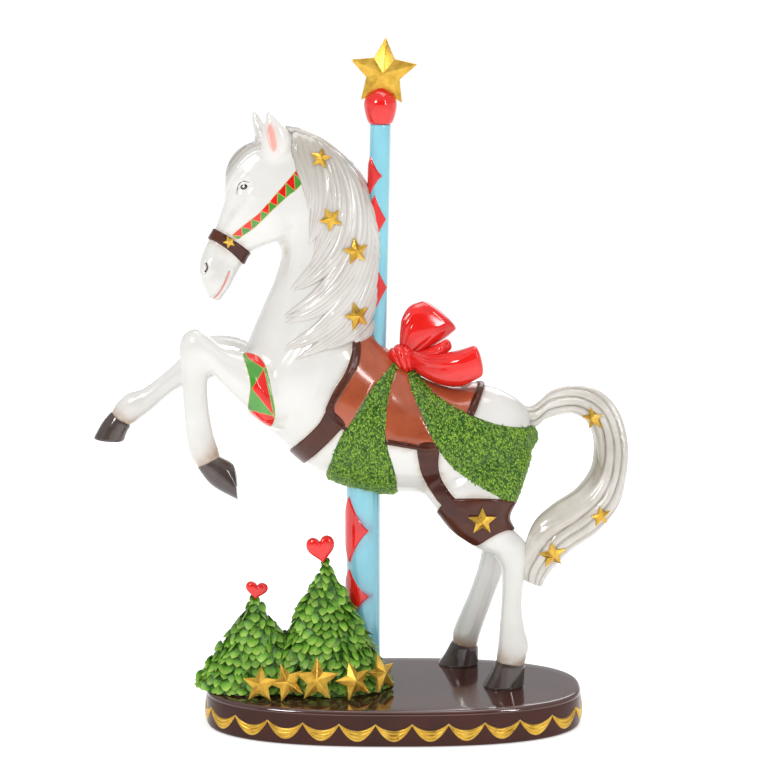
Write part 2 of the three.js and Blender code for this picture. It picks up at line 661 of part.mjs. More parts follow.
// ---------------------------------------------------------------- assembly
const carousel = new THREE.Group();

/** Adds a piece to the group, without the offcuts of its fitting, and returns its solid. */
function add(name, cutBody, material) {
  const body = largest(cutBody);
  const mesh = new THREE.Mesh(geometryOf(body), material);
  mesh.name = name;
  carousel.add(mesh);
  return body;
}

// The horse is parted at the shoulders and the dock, as a caster would.
const horse = add('horse', castBody(), PAINT.white);
const nearForeleg = add('foreleg_near', foreleg(NEAR_FORELEG, HOOVES.nearFore), PAINT.white);
add('foreleg_far', foreleg(FAR_FORELEG, HOOVES.farFore).subtract(grown(nearForeleg)), PAINT.white);
const tailRoom = join(trunk(GAP), limb(NEAR_HINDLEG, GAP));
const tail = add('tail', fluted(TAIL, 17).subtract(tailRoom), PAINT.taupe);
const figure = join(horse, tail);
const figureSurface = seen(figure);

add('base', base(), PAINT.chocolate);

// The garlands meet under the bow, so the front one is cut back by the rear one.
const rear = garland(OUTLINES.rearGarland, OUTLINES.farRearGarland)
  .subtract(join(fluted(TAIL, 17, GAP), limb(FAR_HINDLEG, GAP)));
const front = garland(OUTLINES.frontGarland, OUTLINES.farFrontGarland).subtract(grown(rear));
add('garland_rear', rear, PAINT.green);
add('garland_front', front, PAINT.green);
const overGarland = trunk(RELIEF.garland + GAP);
const ribbon = add('bow', bow().subtract(overGarland), PAINT.red);

const lowerFoot = vec(LOWER_POLE.x, MIDDLE, FLOOR);
const lowerTop = vec(LOWER_POLE.x, MIDDLE, 360);
const lowerPole = pole(lowerFoot, lowerTop, LOWER_POLE.radius, LOWER_LOZENGES);
add('pole_lower', lowerPole.subtract(overGarland), PAINT.blue);
const lowerPoleRoom = pole(lowerFoot, lowerTop, LOWER_POLE.radius + GAP, LOWER_LOZENGES);

const upperFoot = vec(UPPER_POLE.footX, MIDDLE, 480);
const upperTop = vec(UPPER_POLE.headX, MIDDLE, UPPER_POLE.top);
const upperPole = pole(upperFoot, upperTop, UPPER_POLE.radius, UPPER_LOZENGES);
add('pole_upper', upperPole
  .subtract(join(trunk(RELIEF.mane + GAP), grown(front), grown(ribbon))), PAINT.blue);

const capProfile = [[0, 0], [15, 0], [19, 8], [22, 26], [19, 36], [9, 48], [0, 52]]
  .map(([r, rise]) => new THREE.Vector2(r, UPPER_POLE.top + GAP + rise));
const cap = new THREE.LatheGeometry(capProfile, 12).rotateX(Math.PI / 2)
  .translate(UPPER_POLE.headX, MIDDLE, 0);
const topStar = (grow) => stand(star(TOP_STAR.radius, TOP_STAR.thick, TOP_STAR.rim, grow, true, 0.5),
  vec(TOP_STAR.x, TOP_STAR.y, TOP_STAR.z), vec(0, -1, 0), TOP_STAR.turn);
add('star_top', topStar(0), PAINT.gold);
add('pole_cap', solid(cap).subtract(topStar(GAP)), PAINT.red);

for (const [name, [x, z, radius, turn]] of Object.entries(HORSE_STARS)) {
  const { point, normal } = seat(figureSurface, x, z, 0.5 * radius);
  const body = (lift) => stand(star(radius, 0.42 * radius, 0.16 * radius),
    point.clone().addScaledVector(normal, lift), normal, turn);
  let lift = GAP;
  while (body(lift - GAP).intersect(figure).volume() > 0) lift += GAP;
  add(name, body(lift), PAINT.gold);
}

const floorRoom = solid(new THREE.BoxGeometry(600, 300, 60)).translate([0, 0, FLOOR - 30]);
const hearts = Object.entries(HEARTS).map(([name, { x, foot, width, height, thick, lean }]) => {
  const body = (grow) => heart(width, height, thick, grow)
    .rotate([0, lean, 0]).translate([x, TREE_Y, foot]);
  add(name, body(0), PAINT.red);
  return body(GAP);
});
const baseStars = [];
for (const [name, [x, y, radius, turn, facing]] of Object.entries(BASE_STARS)) {
  const way = THREE.MathUtils.degToRad(facing);
  const normal = vec(Math.sin(way), -Math.cos(way), STAR_LEAN).normalize();
  const place = vec(x, y, FLOOR + 0.8 * radius);
  const body = (grow) => stand(star(radius, 0.36 * radius, 0.2 * radius, grow), place, normal, turn);
  add(name, body(0).subtract(join(floorRoom, baseStars)), PAINT.gold);
  baseStars.push(body(GAP));
}
const [starA, starB, starC, starD, starE] = baseStars;
const [leftHeart, rightHeart] = hearts;
add('tree_right', tree(TREES.tree_right, 0)
  .subtract(join(starB, starC, starD, starE, rightHeart, lowerPoleRoom)), PAINT.fir);
add('tree_left', tree(TREES.tree_left, 0)
  .subtract(join(starA, starB, starC, leftHeart, tree(TREES.tree_right, GAP))), PAINT.fir);

export default carousel;
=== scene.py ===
"""Looks of the carousel horse: a cast resin horse on a pole with raised diamonds, with garlands, bow and
fir trees. Lengths are in millimetres until a mesh is made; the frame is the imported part's own."""
import math

import bpy
import numpy as np
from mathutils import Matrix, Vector
from mathutils.bvhtree import BVHTree


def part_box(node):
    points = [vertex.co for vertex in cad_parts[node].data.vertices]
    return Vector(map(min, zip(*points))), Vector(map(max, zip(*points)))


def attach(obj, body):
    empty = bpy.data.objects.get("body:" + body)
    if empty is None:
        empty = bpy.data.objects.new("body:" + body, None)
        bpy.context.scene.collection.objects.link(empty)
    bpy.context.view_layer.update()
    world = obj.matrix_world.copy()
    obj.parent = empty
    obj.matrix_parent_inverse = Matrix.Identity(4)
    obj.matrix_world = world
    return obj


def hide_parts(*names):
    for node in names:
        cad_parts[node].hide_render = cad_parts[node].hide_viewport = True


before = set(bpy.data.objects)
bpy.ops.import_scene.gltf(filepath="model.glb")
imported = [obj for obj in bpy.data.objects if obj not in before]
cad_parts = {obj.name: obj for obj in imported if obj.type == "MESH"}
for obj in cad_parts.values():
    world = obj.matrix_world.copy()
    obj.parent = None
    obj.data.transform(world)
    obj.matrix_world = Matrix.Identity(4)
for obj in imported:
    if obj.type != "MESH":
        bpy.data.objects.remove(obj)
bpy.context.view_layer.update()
MM = 0.001
MIDDLE = 35.0                               # the horse's middle plane, on which outlines are drawn
EYE = np.array([-9.8, -3000.0, 1050.0])     # where the drawn outlines are seen from
FAR = 20.0                                  # distances to outlines and paths are measured up to this
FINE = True
rng = np.random.default_rng(7)


# ---------------------------------------------------------------- curves and fields
def through(points, count):
    """A smooth curve through points, sampled count times."""
    p = np.asarray(points, float)
    p = np.vstack([2 * p[0] - p[1], p, 2 * p[-1] - p[-2]])
    t = np.linspace(0, len(points) - 1, count)
    i = np.minimum(t.astype(int), len(points) - 2)
    w = (t - i)[:, None]
    a, b, c, d = p[i], p[i + 1], p[i + 2], p[i + 3]

    def step(u, v):
        return np.maximum(np.linalg.norm(v - u, axis=1, keepdims=True), 1e-4) ** 0.5

    ab, bc, cd = step(a, b), step(b, c), step(c, d)
    m1 = bc * ((b - a) / ab - (c - a) / (ab + bc) + (c - b) / bc)
    m2 = bc * ((c - b) / bc - (d - b) / (bc + cd) + (d - c) / cd)
    return b + m1 * w + (3 * c - 3 * b - 2 * m1 - m2) * w**2 + (2 * b - 2 * c + m1 + m2) * w**3


def evenly(points, count):
    """The same path with its points spaced evenly along it."""
    p = np.asarray(points, float)
    run = np.r_[0, np.cumsum(np.linalg.norm(np.diff(p, axis=0), axis=1))]
    at = np.linspace(0, run[-1], count)
    return np.stack([np.interp(at, run, p[:, k]) for k in range(p.shape[1])], axis=1)


def closed(points, per=4):
    """A smooth closed outline through points."""
    p = list(map(tuple, points))
    n = len(p)
    around = through(p[-2:] + p + p[:3], per * (n + 4) + 1)
    return around[2 * per:(n + 2) * per]


def softened(path, rounds):
    """A path with its bends evened, its ends kept."""
    for _ in range(rounds):
        path[1:-1] = 0.25 * path[:-2] + 0.5 * path[1:-1] + 0.25 * path[2:]
    return path


def around(sides):
    """The angles of a ring's sides."""
    return 2 * np.pi * np.arange(sides) / sides


def turned(degrees):
    """Cosine and sine."""
    return math.cos(math.radians(degrees)), math.sin(math.radians(degrees))


def ease(x):
    """Rises smoothly from 0 to 1 as x does."""
    x = np.clip(x, 0, 1)
    return x * x * (3 - 2 * x)


def unit(v):
    """Vectors of length one along the rows."""
    return v / np.maximum(np.linalg.norm(v, axis=1, keepdims=True), 1e-9)


def seen_at(v):
    """x and z on the middle plane in line with the eye point; the far side reads mirrored."""
    y = np.where(v[:, 1] > MIDDLE, 2 * MIDDLE - v[:, 1], v[:, 1])
    share = (MIDDLE - EYE[1]) / (y - EYE[1])
    return np.c_[EYE[0] + (v[:, 0] - EYE[0]) * share, EYE[2] + (v[:, 2] - EYE[2]) * share]


def inside(outline, xz):
    """Distance to a closed outline, positive inside it."""
    a = np.asarray(outline, float)
    b = np.roll(a, -1, axis=0)
    near = ((xz > a.min(0) - FAR) & (xz < a.max(0) + FAR)).all(1)
    if not near.all():
        whole = np.full(len(xz), -FAR)
        whole[near] = inside(outline, xz[near])
        return whole
    best = np.full(len(xz), 1e9)
    odd = np.zeros(len(xz), bool)
    for p, q in zip(a, b):
        e, w = q - p, xz - p
        t = np.clip(w @ e / max(e @ e, 1e-9), 0, 1)
        best = np.minimum(best, np.hypot(*(w - t[:, None] * e).T))
        if p[1] != q[1]:
            crosses = (p[1] > xz[:, 1]) != (q[1] > xz[:, 1])
            odd ^= crosses & (xz[:, 0] < p[0] + (xz[:, 1] - p[1]) * e[0] / e[1])
    return np.where(odd, best, -best)


def along(path, xz):
    """Distance to an open path, and how far along it the nearest place lies, from 0 to 1."""
    p = np.asarray(path, float)
    near = ((xz > p.min(0) - FAR) & (xz < p.max(0) + FAR)).all(1)
    if not near.all():
        best, place = np.full(len(xz), FAR), np.zeros(len(xz))
        best[near], place[near] = along(path, xz[near])
        return best, place
    run = np.r_[0, np.cumsum(np.linalg.norm(np.diff(p, axis=0), axis=1))]
    best = np.full(len(xz), 1e9)
    place = np.zeros(len(xz))
    for k in range(len(p) - 1):
        e, w = p[k + 1] - p[k], xz - p[k]
        t = np.clip((w * e).sum(1) / max(e @ e, 1e-9), 0, 1)
        d = np.linalg.norm(w - t[:, None] * e, axis=1)
        nearer = d < best
        best = np.where(nearer, d, best)
        place = np.where(nearer, (run[k] + t * (run[k + 1] - run[k])) / run[-1], place)
    return best, place


# ---------------------------------------------------------------- meshes as arrays
class Skin:
    """A triangle mesh in millimetres, with named numbers at its vertices."""

    def __init__(self, v, t, **fields):
        self.v = np.asarray(v, float)
        self.t = np.asarray(t, int)
        self.f = dict(fields)

    def facings(self):
        """Each triangle's direction out, as long as twice its area."""
        a, b, c = (self.v[self.t[:, k]] for k in range(3))
        return np.cross(b - a, c - a)

    def normals(self):
        face = self.facings()
        n = np.zeros_like(self.v)
        for k in range(3):
            for axis in range(3):
                n[:, axis] += np.bincount(self.t[:, k], face[:, axis], len(self.v))
        return n / np.maximum(np.linalg.norm(n, axis=1, keepdims=True), 1e-12)

    def edges(self):
        e = np.sort(np.vstack([self.t[:, [0, 1]], self.t[:, [1, 2]], self.t[:, [2, 0]]]), axis=1)
        return np.unique(e, axis=0)

    def mean_of_neighbours(self, edges, values):
        n = len(self.v)
        i, j = edges.T
        count = np.bincount(i, minlength=n) + np.bincount(j, minlength=n)
        total = np.stack([np.bincount(i, values[j, k], n) + np.bincount(j, values[i, k], n)
                          for k in range(values.shape[1])], axis=1)
        return total / np.maximum(count, 1)[:, None]

    def smooth(self, rounds, fill_only=False):
        """Evens the surface; fill_only moves only hollows, outward, which blends where forms meet."""
        edges = self.edges()
        for r in range(rounds):
            move = self.mean_of_neighbours(edges, self.v) - self.v
            if fill_only:
                move *= ((move * self.normals()).sum(1) > 0)[:, None]
            self.v += (0.5 if fill_only or r % 2 == 0 else -0.52) * move
        return self

    def cut(self, name, level=0.0):
        """New edges along the line where a named number passes a level."""
        s = self.f[name] - level
        least = 0.03
        s = np.where(np.abs(s) < least, np.where(s < 0, -least, least), s)
        over = s > 0
        flags = over[self.t]
        count = flags.sum(1)
        mixed = (count == 1) | (count == 2)
        if not mixed.any():
            return self
        tri, flag = self.t[mixed], flags[mixed]
        lone = np.where(flag.sum(1) == 1, flag.argmax(1), (~flag).argmax(1))
        rows = np.arange(len(tri))
        a, b, c = (tri[rows, (lone + k) % 3] for k in range(3))
        n = len(self.v)
        keys = np.r_[np.minimum(a, b) * n + np.maximum(a, b), np.minimum(a, c) * n + np.maximum(a, c)]
        unique, back = np.unique(keys, return_inverse=True)
        i, j = unique // n, unique % n
        w = (s[i] / (s[i] - s[j]))
        p, q = n + back[:len(tri)], n + back[len(tri):]
        self.v = np.vstack([self.v, self.v[i] + w[:, None] * (self.v[j] - self.v[i])])
        for key, value in self.f.items():
            shape = w if value.ndim == 1 else w[:, None]
            self.f[key] = np.concatenate([value, value[i] + shape * (value[j] - value[i])])
        self.t = np.vstack([self.t[~mixed], np.c_[a, p, q], np.c_[p, b, c], np.c_[p, c, q]])
        return self


def joined(skins):
    """Several skins as one."""
    offset, v, t = 0, [], []
    for skin in skins:
        v.append(skin.v)
        t.append(skin.t + offset)
        offset += len(skin.v)
    keys = skins[0].f.keys()
    fields = {k: np.concatenate([s.f[k] for s in skins]) for k in keys}
    return Skin(np.vstack(v), np.vstack(t), **fields)


def sheet_faces(rows, columns, wrap=False):
    """Triangles of a grid of points; wrap joins its last column to its first."""
    r, c = np.meshgrid(np.arange(rows - 1), np.arange(columns if wrap else columns - 1), indexing="ij")
    r, c = r.ravel(), c.ravel()
    d = (c + 1) % columns
    a, b, e, f = r * columns + c, r * columns + d, (r + 1) * columns + d, (r + 1) * columns + c
    return np.vstack([np.c_[a, b, e], np.c_[a, e, f]])


def tube(rings, ends=None):
    """A closed skin over rings (ring, side, xyz), closed by a fan at each end."""
    count, sides = rings.shape[:2]
    first, last = ends if ends is not None else (rings[0].mean(0), rings[-1].mean(0))
    v = np.vstack([rings.reshape(-1, 3), first, last])
    k = np.arange(sides)
    n = (k + 1) % sides
    low, high = count * sides, count * sides + 1
    top = (count - 1) * sides
    t = np.vstack([sheet_faces(count, sides, True), np.c_[np.full(sides, low), n, k],
                   np.c_[np.full(sides, high), top + k, top + n]])
    return outward(Skin(v, t))


def outward(skin):
    """The skin with its triangles turned to face out."""
    a, b, c = (skin.v[skin.t[:, k]] for k in range(3))
    if (a * np.cross(b, c)).sum() < 0:
        skin.t = skin.t[:, ::-1]
    return skin


def profile_rings(stations, rings, sides, square=1.0):
    """Rings of a form drawn in profile: [frontX, frontZ, backX, backZ, middleY, halfWidth]."""
    s = np.asarray(stations, float)
    zero = np.zeros(len(s))
    front = through(np.c_[s[:, 0], zero, s[:, 1]], rings)
    back = through(np.c_[s[:, 2], zero, s[:, 3]], rings)
    across = through(np.c_[s[:, 4], s[:, 5], zero], rings)
    c, q = np.cos(around(sides)), np.sin(around(sides))
    c, q = np.sign(c) * np.abs(c) ** square, np.sign(q) * np.abs(q) ** square
    middle = 0.5 * (front + back)
    middle[:, 1] = across[:, 0]
    reach = 0.5 * (front - back)
    ring = middle[:, None, :] + reach[:, None, :] * c[None, :, None]
    ring[:, :, 1] += across[:, 1][:, None] * q[None, :]
    return ring


def swelled(rings, factor):
    """Rings grown about their own middles."""
    middle = rings.mean(1, keepdims=True)
    return middle + (rings - middle) * factor


def profile(stations, rings, sides, dome=3.0, square=1.0):
    """A closed form drawn in profile, its ends domed."""
    r = profile_rings(stations, rings, sides, square)
    ends = []
    for last, inner in ((r[0].mean(0), r[1].mean(0)), (r[-1].mean(0), r[-2].mean(0))):
        out = last - inner
        ends.append(last + out / np.linalg.norm(out) * dome)
    return tube(r, ends)


# ---------------------------------------------------------------- Blender objects
def finished(name, skin, materials, stands_for, faces=None, shade=180.0):
    """Makes a Blender piece of a skin; faces gives each triangle's material."""
    mesh = bpy.data.meshes.new(name)
    mesh.vertices.add(len(skin.v))
    mesh.vertices.foreach_set("co", (skin.v * MM).astype(np.float32).ravel())
    mesh.loops.add(3 * len(skin.t))
    mesh.loops.foreach_set("vertex_index", skin.t.astype(np.int32).ravel())
    mesh.polygons.add(len(skin.t))
    mesh.polygons.foreach_set("loop_start", np.arange(0, 3 * len(skin.t), 3, dtype=np.int32))
    mesh.polygons.foreach_set("loop_total", np.full(len(skin.t), 3, np.int32))
    mesh.update(calc_edges=True)
    mesh.validate()
    for material in materials if isinstance(materials, (list, tuple)) else [materials]:
        mesh.materials.append(material)
    if faces is not None:
        mesh.polygons.foreach_set("material_index", faces.astype(np.int32))
    for key, value in skin.f.items():
        if value.ndim == 1:
            mesh.attributes.new(key, "FLOAT", "POINT").data.foreach_set("value", value.astype(np.float32))
    mesh.polygons.foreach_set("use_smooth", np.ones(len(skin.t), bool))
    if shade < 180:
        mesh.set_sharp_from_angle(angle=math.radians(shade))
    piece = bpy.data.objects.new(name, mesh)
    bpy.context.scene.collection.objects.link(piece)
    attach(piece, "root")
    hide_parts(*stands_for)


def modified(skin, kind, **settings):
    """The skin as one of Blender's modifiers leaves it."""
    mesh = bpy.data.meshes.new("work")
    mesh.from_pydata((skin.v * MM).tolist(), [], skin.t.tolist())
    thing = bpy.data.objects.new("work", mesh)
    bpy.context.scene.collection.objects.link(thing)
    modifier = thing.modifiers.new("work", kind)
    for key, value in settings.items():
        setattr(modifier, key, value)
    result = thing.evaluated_get(bpy.context.evaluated_depsgraph_get())
    done = result.to_mesh()
    done.calc_loop_triangles()
    v = np.zeros(3 * len(done.vertices), np.float32)
    done.vertices.foreach_get("co", v)
    t = np.zeros(3 * len(done.loop_triangles), np.int32)
    done.loop_triangles.foreach_get("vertices", t)
    result.to_mesh_clear()
    bpy.data.objects.remove(thing)
    bpy.data.meshes.remove(mesh)
    return Skin(v.reshape(-1, 3) / MM, t.reshape(-1, 3))


def merged(skins):
    """Several skins as one, without their named numbers."""
    return joined([Skin(s.v, s.t) for s in skins])


def fused(skins, voxel):
    """One skin round several overlapping closed ones."""
    return modified(merged(skins), "REMESH", mode="VOXEL", voxel_size=voxel * MM, adaptivity=0)


def bevelled(skin, width, segments):
    """A skin with its sharp edges bevelled."""
    return modified(skin, "BEVEL", width=width * MM, segments=segments, limit_method="ANGLE",
                    angle_limit=math.radians(8))


def box_mm(node_name):
    """The lowest and highest corners of a node of the CAD."""
    return [np.array(corner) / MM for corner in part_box(node_name)]


def tree_of(skin):
    """A tree for finding the nearest point of a skin, or what a ray hits."""
    return BVHTree.FromPolygons(skin.v.tolist(), skin.t.tolist())


# ---------------------------------------------------------------- the horse's forms
TRUNK = [
    [-178, 700, -146, 819, 33, 22], [-153, 655, -92, 796, 34, 28], [-160, 620, -47, 750, 35, 34],
    [-178, 578, -27, 698, 35, 41], [-196, 536, -25, 612, 35, 50], [-213, 488, -29, 542, 35, 59],
    [-206, 438, -8, 514, 35, 65], [-160, 394, 20, 490, 35, 68], [-106, 348, 50, 474, 35, 70],
    [-40, 325, 84, 467, 35, 71], [20, 317, 114, 468, 35, 70], [70, 318, 145, 461, 35, 67],
    [120, 325, 172, 446, 35, 60], [163, 345, 190, 427, 35, 44], [188, 372, 198, 408, 35, 20]]
HEAD = [
    [-170, 800, -140, 806, 34, 15], [-190, 799, -120, 785, 34, 24], [-210, 788, -112, 740, 33, 29],
    [-224, 766, -122, 695, 31, 31], [-226, 743, -143, 668, 30, 31], [-229, 719, -165, 664, 28, 28],
    [-234, 705, -184, 656, 27, 24.5], [-241, 685, -196, 651, 26, 21.5], [-250, 669, -205, 635, 25, 19.5],
    [-260, 647, -212, 624, 23, 19], [-263, 631, -218, 612, 22, 19.5], [-259, 611, -226, 599, 21, 17],
    [-254, 600, -230, 595, 21, 15], [-250, 591, -234, 588, 21, 10]]
NEAR_FORELEG = [
    [-165, 500, -118, 415, 22, 36], [-196, 519, -160, 412, -2, 32], [-228, 527, -200, 445, -12, 21],
    [-250, 544, -231, 476, -13, 17], [-268, 553, -247, 496, -13, 16.5], [-283, 545, -250, 495, -13, 16],
    [-289, 526, -250, 488, -13, 15], [-287, 502, -252, 476, -13, 13], [-285, 458, -251, 450, -13, 11],
    [-283, 420, -247, 420, -13, 11], [-280, 393, -242, 398, -13, 12.5], [-274, 374, -238, 385, -13, 13],
    [-264, 360, -236, 376, -13, 12.5]]
FAR_FORELEG = [
    [-165, 500, -118, 415, 48, 36], [-196, 519, -160, 412, 68, 30], [-225, 528, -200, 450, 76, 22],
    [-260, 526, -245, 472, 81, 17], [-285, 510, -270, 458, 82, 15.5], [-302, 491, -297, 455, 82, 13],
    [-330, 467, -319, 440, 82, 11], [-352, 452, -338, 423, 82, 11.5], [-371, 446, -354, 411, 82, 13],
    [-386, 433, -364, 404, 82, 12.5], [-395, 418, -371, 401, 82, 12]]
NEAR_HINDLEG = [
    [28, 336, 190, 405, 24, 42], [41, 323, 190, 372, 4, 40], [61, 299, 174, 328, -7, 35],
    [87, 268, 157, 293, -12, 26], [115, 248, 165, 274, -12, 20], [137, 238, 180, 258, -12, 17.5],
    [147, 222, 184, 236, -12, 16], [149, 198, 180, 204, -12, 13.5], [148, 163, 177, 166, -12, 12],
    [146, 132, 182, 130, -12, 13], [144, 106, 187, 110, -12, 14.5], [142, 84, 180, 78, -12, 13.5]]
FAR_HINDLEG = [
    [60, 330, 190, 395, 52, 40], [80, 298, 175, 328, 74, 33], [106, 262, 163, 292, 81, 23],
    [121, 238, 166, 258, 82, 17.5], [124, 219, 163, 227, 82, 15.5], [119, 193, 155, 188, 83, 13.5],
    [108, 158, 145, 158, 85, 12], [96, 128, 132, 120, 87, 12.5], [85, 98, 124, 95, 88, 14.5],
    [84, 82, 119, 74, 88, 13.5]]
TAIL = [
    [160, 452, 176, 400, 35, 14], [187, 437, 198, 409, 35, 15], [218, 459, 210, 420, 35, 17],
    [252, 467, 247, 428, 31, 19], [284, 459, 265, 418, 27, 21], [307, 436, 273, 403, 22, 22],
    [321, 395, 275, 380, 16, 23], [322, 351, 270, 354, 10, 23], [313, 308, 249, 327, 4, 23],
    [284, 272, 219, 308, -2, 22], [246, 246, 193, 286, -8, 20], [223, 224, 179, 253, -11, 17],
    [212, 210, 173, 222, -12, 12.5], [204, 194, 179, 204, -12, 7.5]]
SOLE = 51.0
HOOVES = {
    "near_fore": [[-268, 362, -237, 378, -13, 15], [-249, 338, -219, 367, -13, 18],
                  [-212, 317, -214, 352, -13, 20]],
    "far_fore": [[-396, 420, -368, 399, 82, 14.5], [-408, 405, -373, 391, 82, 17],
                 [-420, 383, -378, 379, 82, 19]],
    "near_hind": [[141, 88, 183, 82, -12, 17], [133, 69, 182, 66, -12, 19], [124, SOLE, 180, SOLE, -12, 21]],
    "far_hind": [[82, 84, 122, 76, 88, 17], [73, 66, 122, 63, 88, 19], [64, SOLE, 121, SOLE, 88, 21]]}
EARS = [
    [[-171, 780, -150, 777, 15, 8], [-177, 792, -141, 786, 12, 12], [-177, 804, -137, 798, 11, 12.5],
     [-175, 817, -139, 811, 10, 11.5], [-172, 829, -145, 823, 10, 9], [-170, 837, -154, 832, 10, 6],
     [-168.5, 844, -163, 842, 10, 2.5]],
    [[-186, 795, -160, 795, 54, 10], [-188, 808, -165, 806, 57, 10], [-191, 821, -171, 819, 59, 8.5],
     [-192, 830, -179, 829, 60, 6], [-192, 840, -186, 839, 60, 2.5]]]

OUTLINES = {
    "saddle": [[-60, 560], [-57, 520], [-59, 506], [-68, 482], [-79, 465], [-89, 445], [-94, 429], [-84, 414],
               [-68, 404], [-40, 385], [-9, 383], [20, 378], [55, 374], [76, 384], [98, 402], [112, 427],
               [119, 446], [126, 470], [126, 500], [60, 520], [0, 560]],
    "seat": [[-50, 570], [-46, 520], [-48, 498], [-58, 478], [-69, 459], [-81, 439], [-81, 430], [-77, 419],
             [-66, 409], [-40, 394], [-9, 391], [20, 386], [48, 382], [70, 392], [90, 408], [101, 429],
             [110, 452], [116, 470], [116, 500], [60, 530], [0, 570]],
    "front_strap": [[-90, 434], [-94, 429], [-103, 413], [-125, 391], [-152, 370], [-172, 352], [-160, 330],
                    [-126, 355], [-115, 363], [-95, 381], [-75, 402], [-66, 412]],
    "rear_strap": [[34, 384], [35, 357], [41, 336], [53, 316], [69, 297], [86, 304], [79, 314], [67, 333],
                   [62, 352], [61, 384]],
    "thigh_wrap": [[60, 287], [66, 296], [74, 303], [81, 306], [100, 307], [125, 307], [160, 305], [178, 303],
                   [170, 290], [168, 262], [158, 261], [145, 256], [132, 249], [116, 240], [100, 248],
                   [86, 258], [73, 271]],
    "noseband": [[-246, 684], [-238, 680.5], [-228, 675], [-216, 667], [-205, 659], [-193, 649], [-186, 640],
                 [-197, 626], [-204, 633], [-213, 643], [-224, 653], [-236, 661.5], [-246, 667], [-256, 670]],
    "mane": [[-141, 830], [-117, 825], [-84, 805], [-57, 778], [-30, 745], [-16, 700], [-10, 640], [-14, 560],
             [-26, 534], [-46, 524], [-57, 519], [-75, 514], [-100, 511], [-130, 503], [-120, 520],
             [-95, 545], [-85, 575], [-100, 600], [-92, 640], [-100, 680], [-106, 720], [-112, 760],
             [-126, 790]],
    "front_garland": [[10, 503], [1, 503], [-6, 494], [-14, 483], [-30, 465], [-43, 444], [-57, 420],
                      [-68, 404], [-78, 383], [-87, 359], [-93, 343], [-94, 326], [-92, 300], [-10, 296],
                      [3, 306], [5, 318], [4, 333], [-2, 357], [-8, 376], [-10, 399], [-9, 427], [-5, 455],
                      [1, 478]],
    "rear_garland": [[17, 500], [27, 500], [33, 488], [41, 474], [54, 458], [70, 446], [96, 431], [119, 420],
                     [142, 412], [168, 408], [186, 409], [198, 416], [206, 400], [202, 380], [191, 357],
                     [181, 333], [170, 303], [155, 304], [146, 309], [125, 321], [102, 336], [83, 350],
                     [67, 369], [57, 383], [48, 399], [39, 420], [29, 444], [22, 462], [17, 483]],
    "forelock": [[-170, 797], [-180, 803], [-194, 806], [-216, 806], [-238, 785], [-246, 757],
                 [-242, 735], [-226, 732], [-221, 742], [-213, 757], [-199, 775], [-185, 785], [-173, 789]],
    "patch": [[-206, 512], [-186, 508], [-177, 497], [-171, 478], [-167, 455], [-163.5, 434], [-164, 420],
              [-169, 409], [-184, 417], [-200, 432], [-199, 449], [-197, 467], [-201, 488]]}
STRAP_UPPER = [[-220, 674], [-218, 676], [-201, 690], [-183, 704], [-173, 715], [-159, 731], [-142, 750],
               [-124, 772]]
STRAP_LOWER = [[-211, 668], [-209, 670], [-193, 681], [-181, 691], [-166, 706], [-152, 719], [-142, 728],
               [-131, 736], [-118, 752]]
PATCH_REDS = [[[-188, 514], [-174, 496], [-178, 490], [-199, 504], [-204, 512]],
              [[-178, 490], [-165, 424], [-195, 462]],
              [[-196, 432], [-166.5, 424], [-160, 415], [-166, 403], [-200, 426]]]
MOUTH = [[-223, 625], [-227, 615], [-231, 606], [-236, 597], [-242, 590], [-250, 585]]
NOSTRIL = [[-256, 636], [-254.5, 632], [-255, 628], [-257.5, 624]]
EAR_PINK = [[-167, 827], [-160.5, 818], [-157.5, 805], [-157, 793], [-162, 786], [-166.5, 792], [-170, 803],
            [-171.5, 815]]
LID = [[-212, 730], [-211.5, 737], [-208.5, 744], [-202, 747.5], [-195, 745]]
EYE_AT = (-202.5, 740.0)
HEAD_MIDDLE = 29.5                          # the head's own middle plane at the eyes
# Half widths of the painted lines, how wide the forelock's strands are, and the saddle's raised edge.
GOLD_LINE, GOLD_RIM, LIP_LINE, NOSTRIL_LINE, LID_LINE = 0.45, 0.7, 1.15, 1.2, 0.6
STRAND_PITCH = 4.6
EDGE = 1.1


def cast_horse():
    """The bare horse as one skin, evened and filleted where its forms meet."""
    parts = [profile(TRUNK, 110, 96, dome=10), profile(HEAD, 70, 64, dome=3, square=0.9)]
    parts += [profile(s, 64, 48) for s in (NEAR_FORELEG, FAR_FORELEG, NEAR_HINDLEG, FAR_HINDLEG)]
    parts += [profile(e, 24, 32, dome=0.5) for e in EARS]
    skin = fused(parts, 3.2 if FINE else 4.5)
    skin.smooth(6)
    skin.smooth(40, fill_only=True)
    skin.smooth(6)
    return skin


def mounds(skin, normals, places):
    """Swells or hollows: [x, z, radius across, radius along, tilt degrees, height] read on both flanks."""
    xz = seen_at(skin.v)
    lift = np.zeros(len(skin.v))
    for x, z, across, long, tilt, height in places:
        c, s = turned(tilt)
        dx, dz = xz[:, 0] - x, xz[:, 1] - z
        u, w = (c * dx + s * dz) / long, (-s * dx + c * dz) / across
        facing = ease(1.6 * np.abs(normals[:, 1]))
        lift += height * np.exp(-(u * u + w * w)) * facing
    return lift


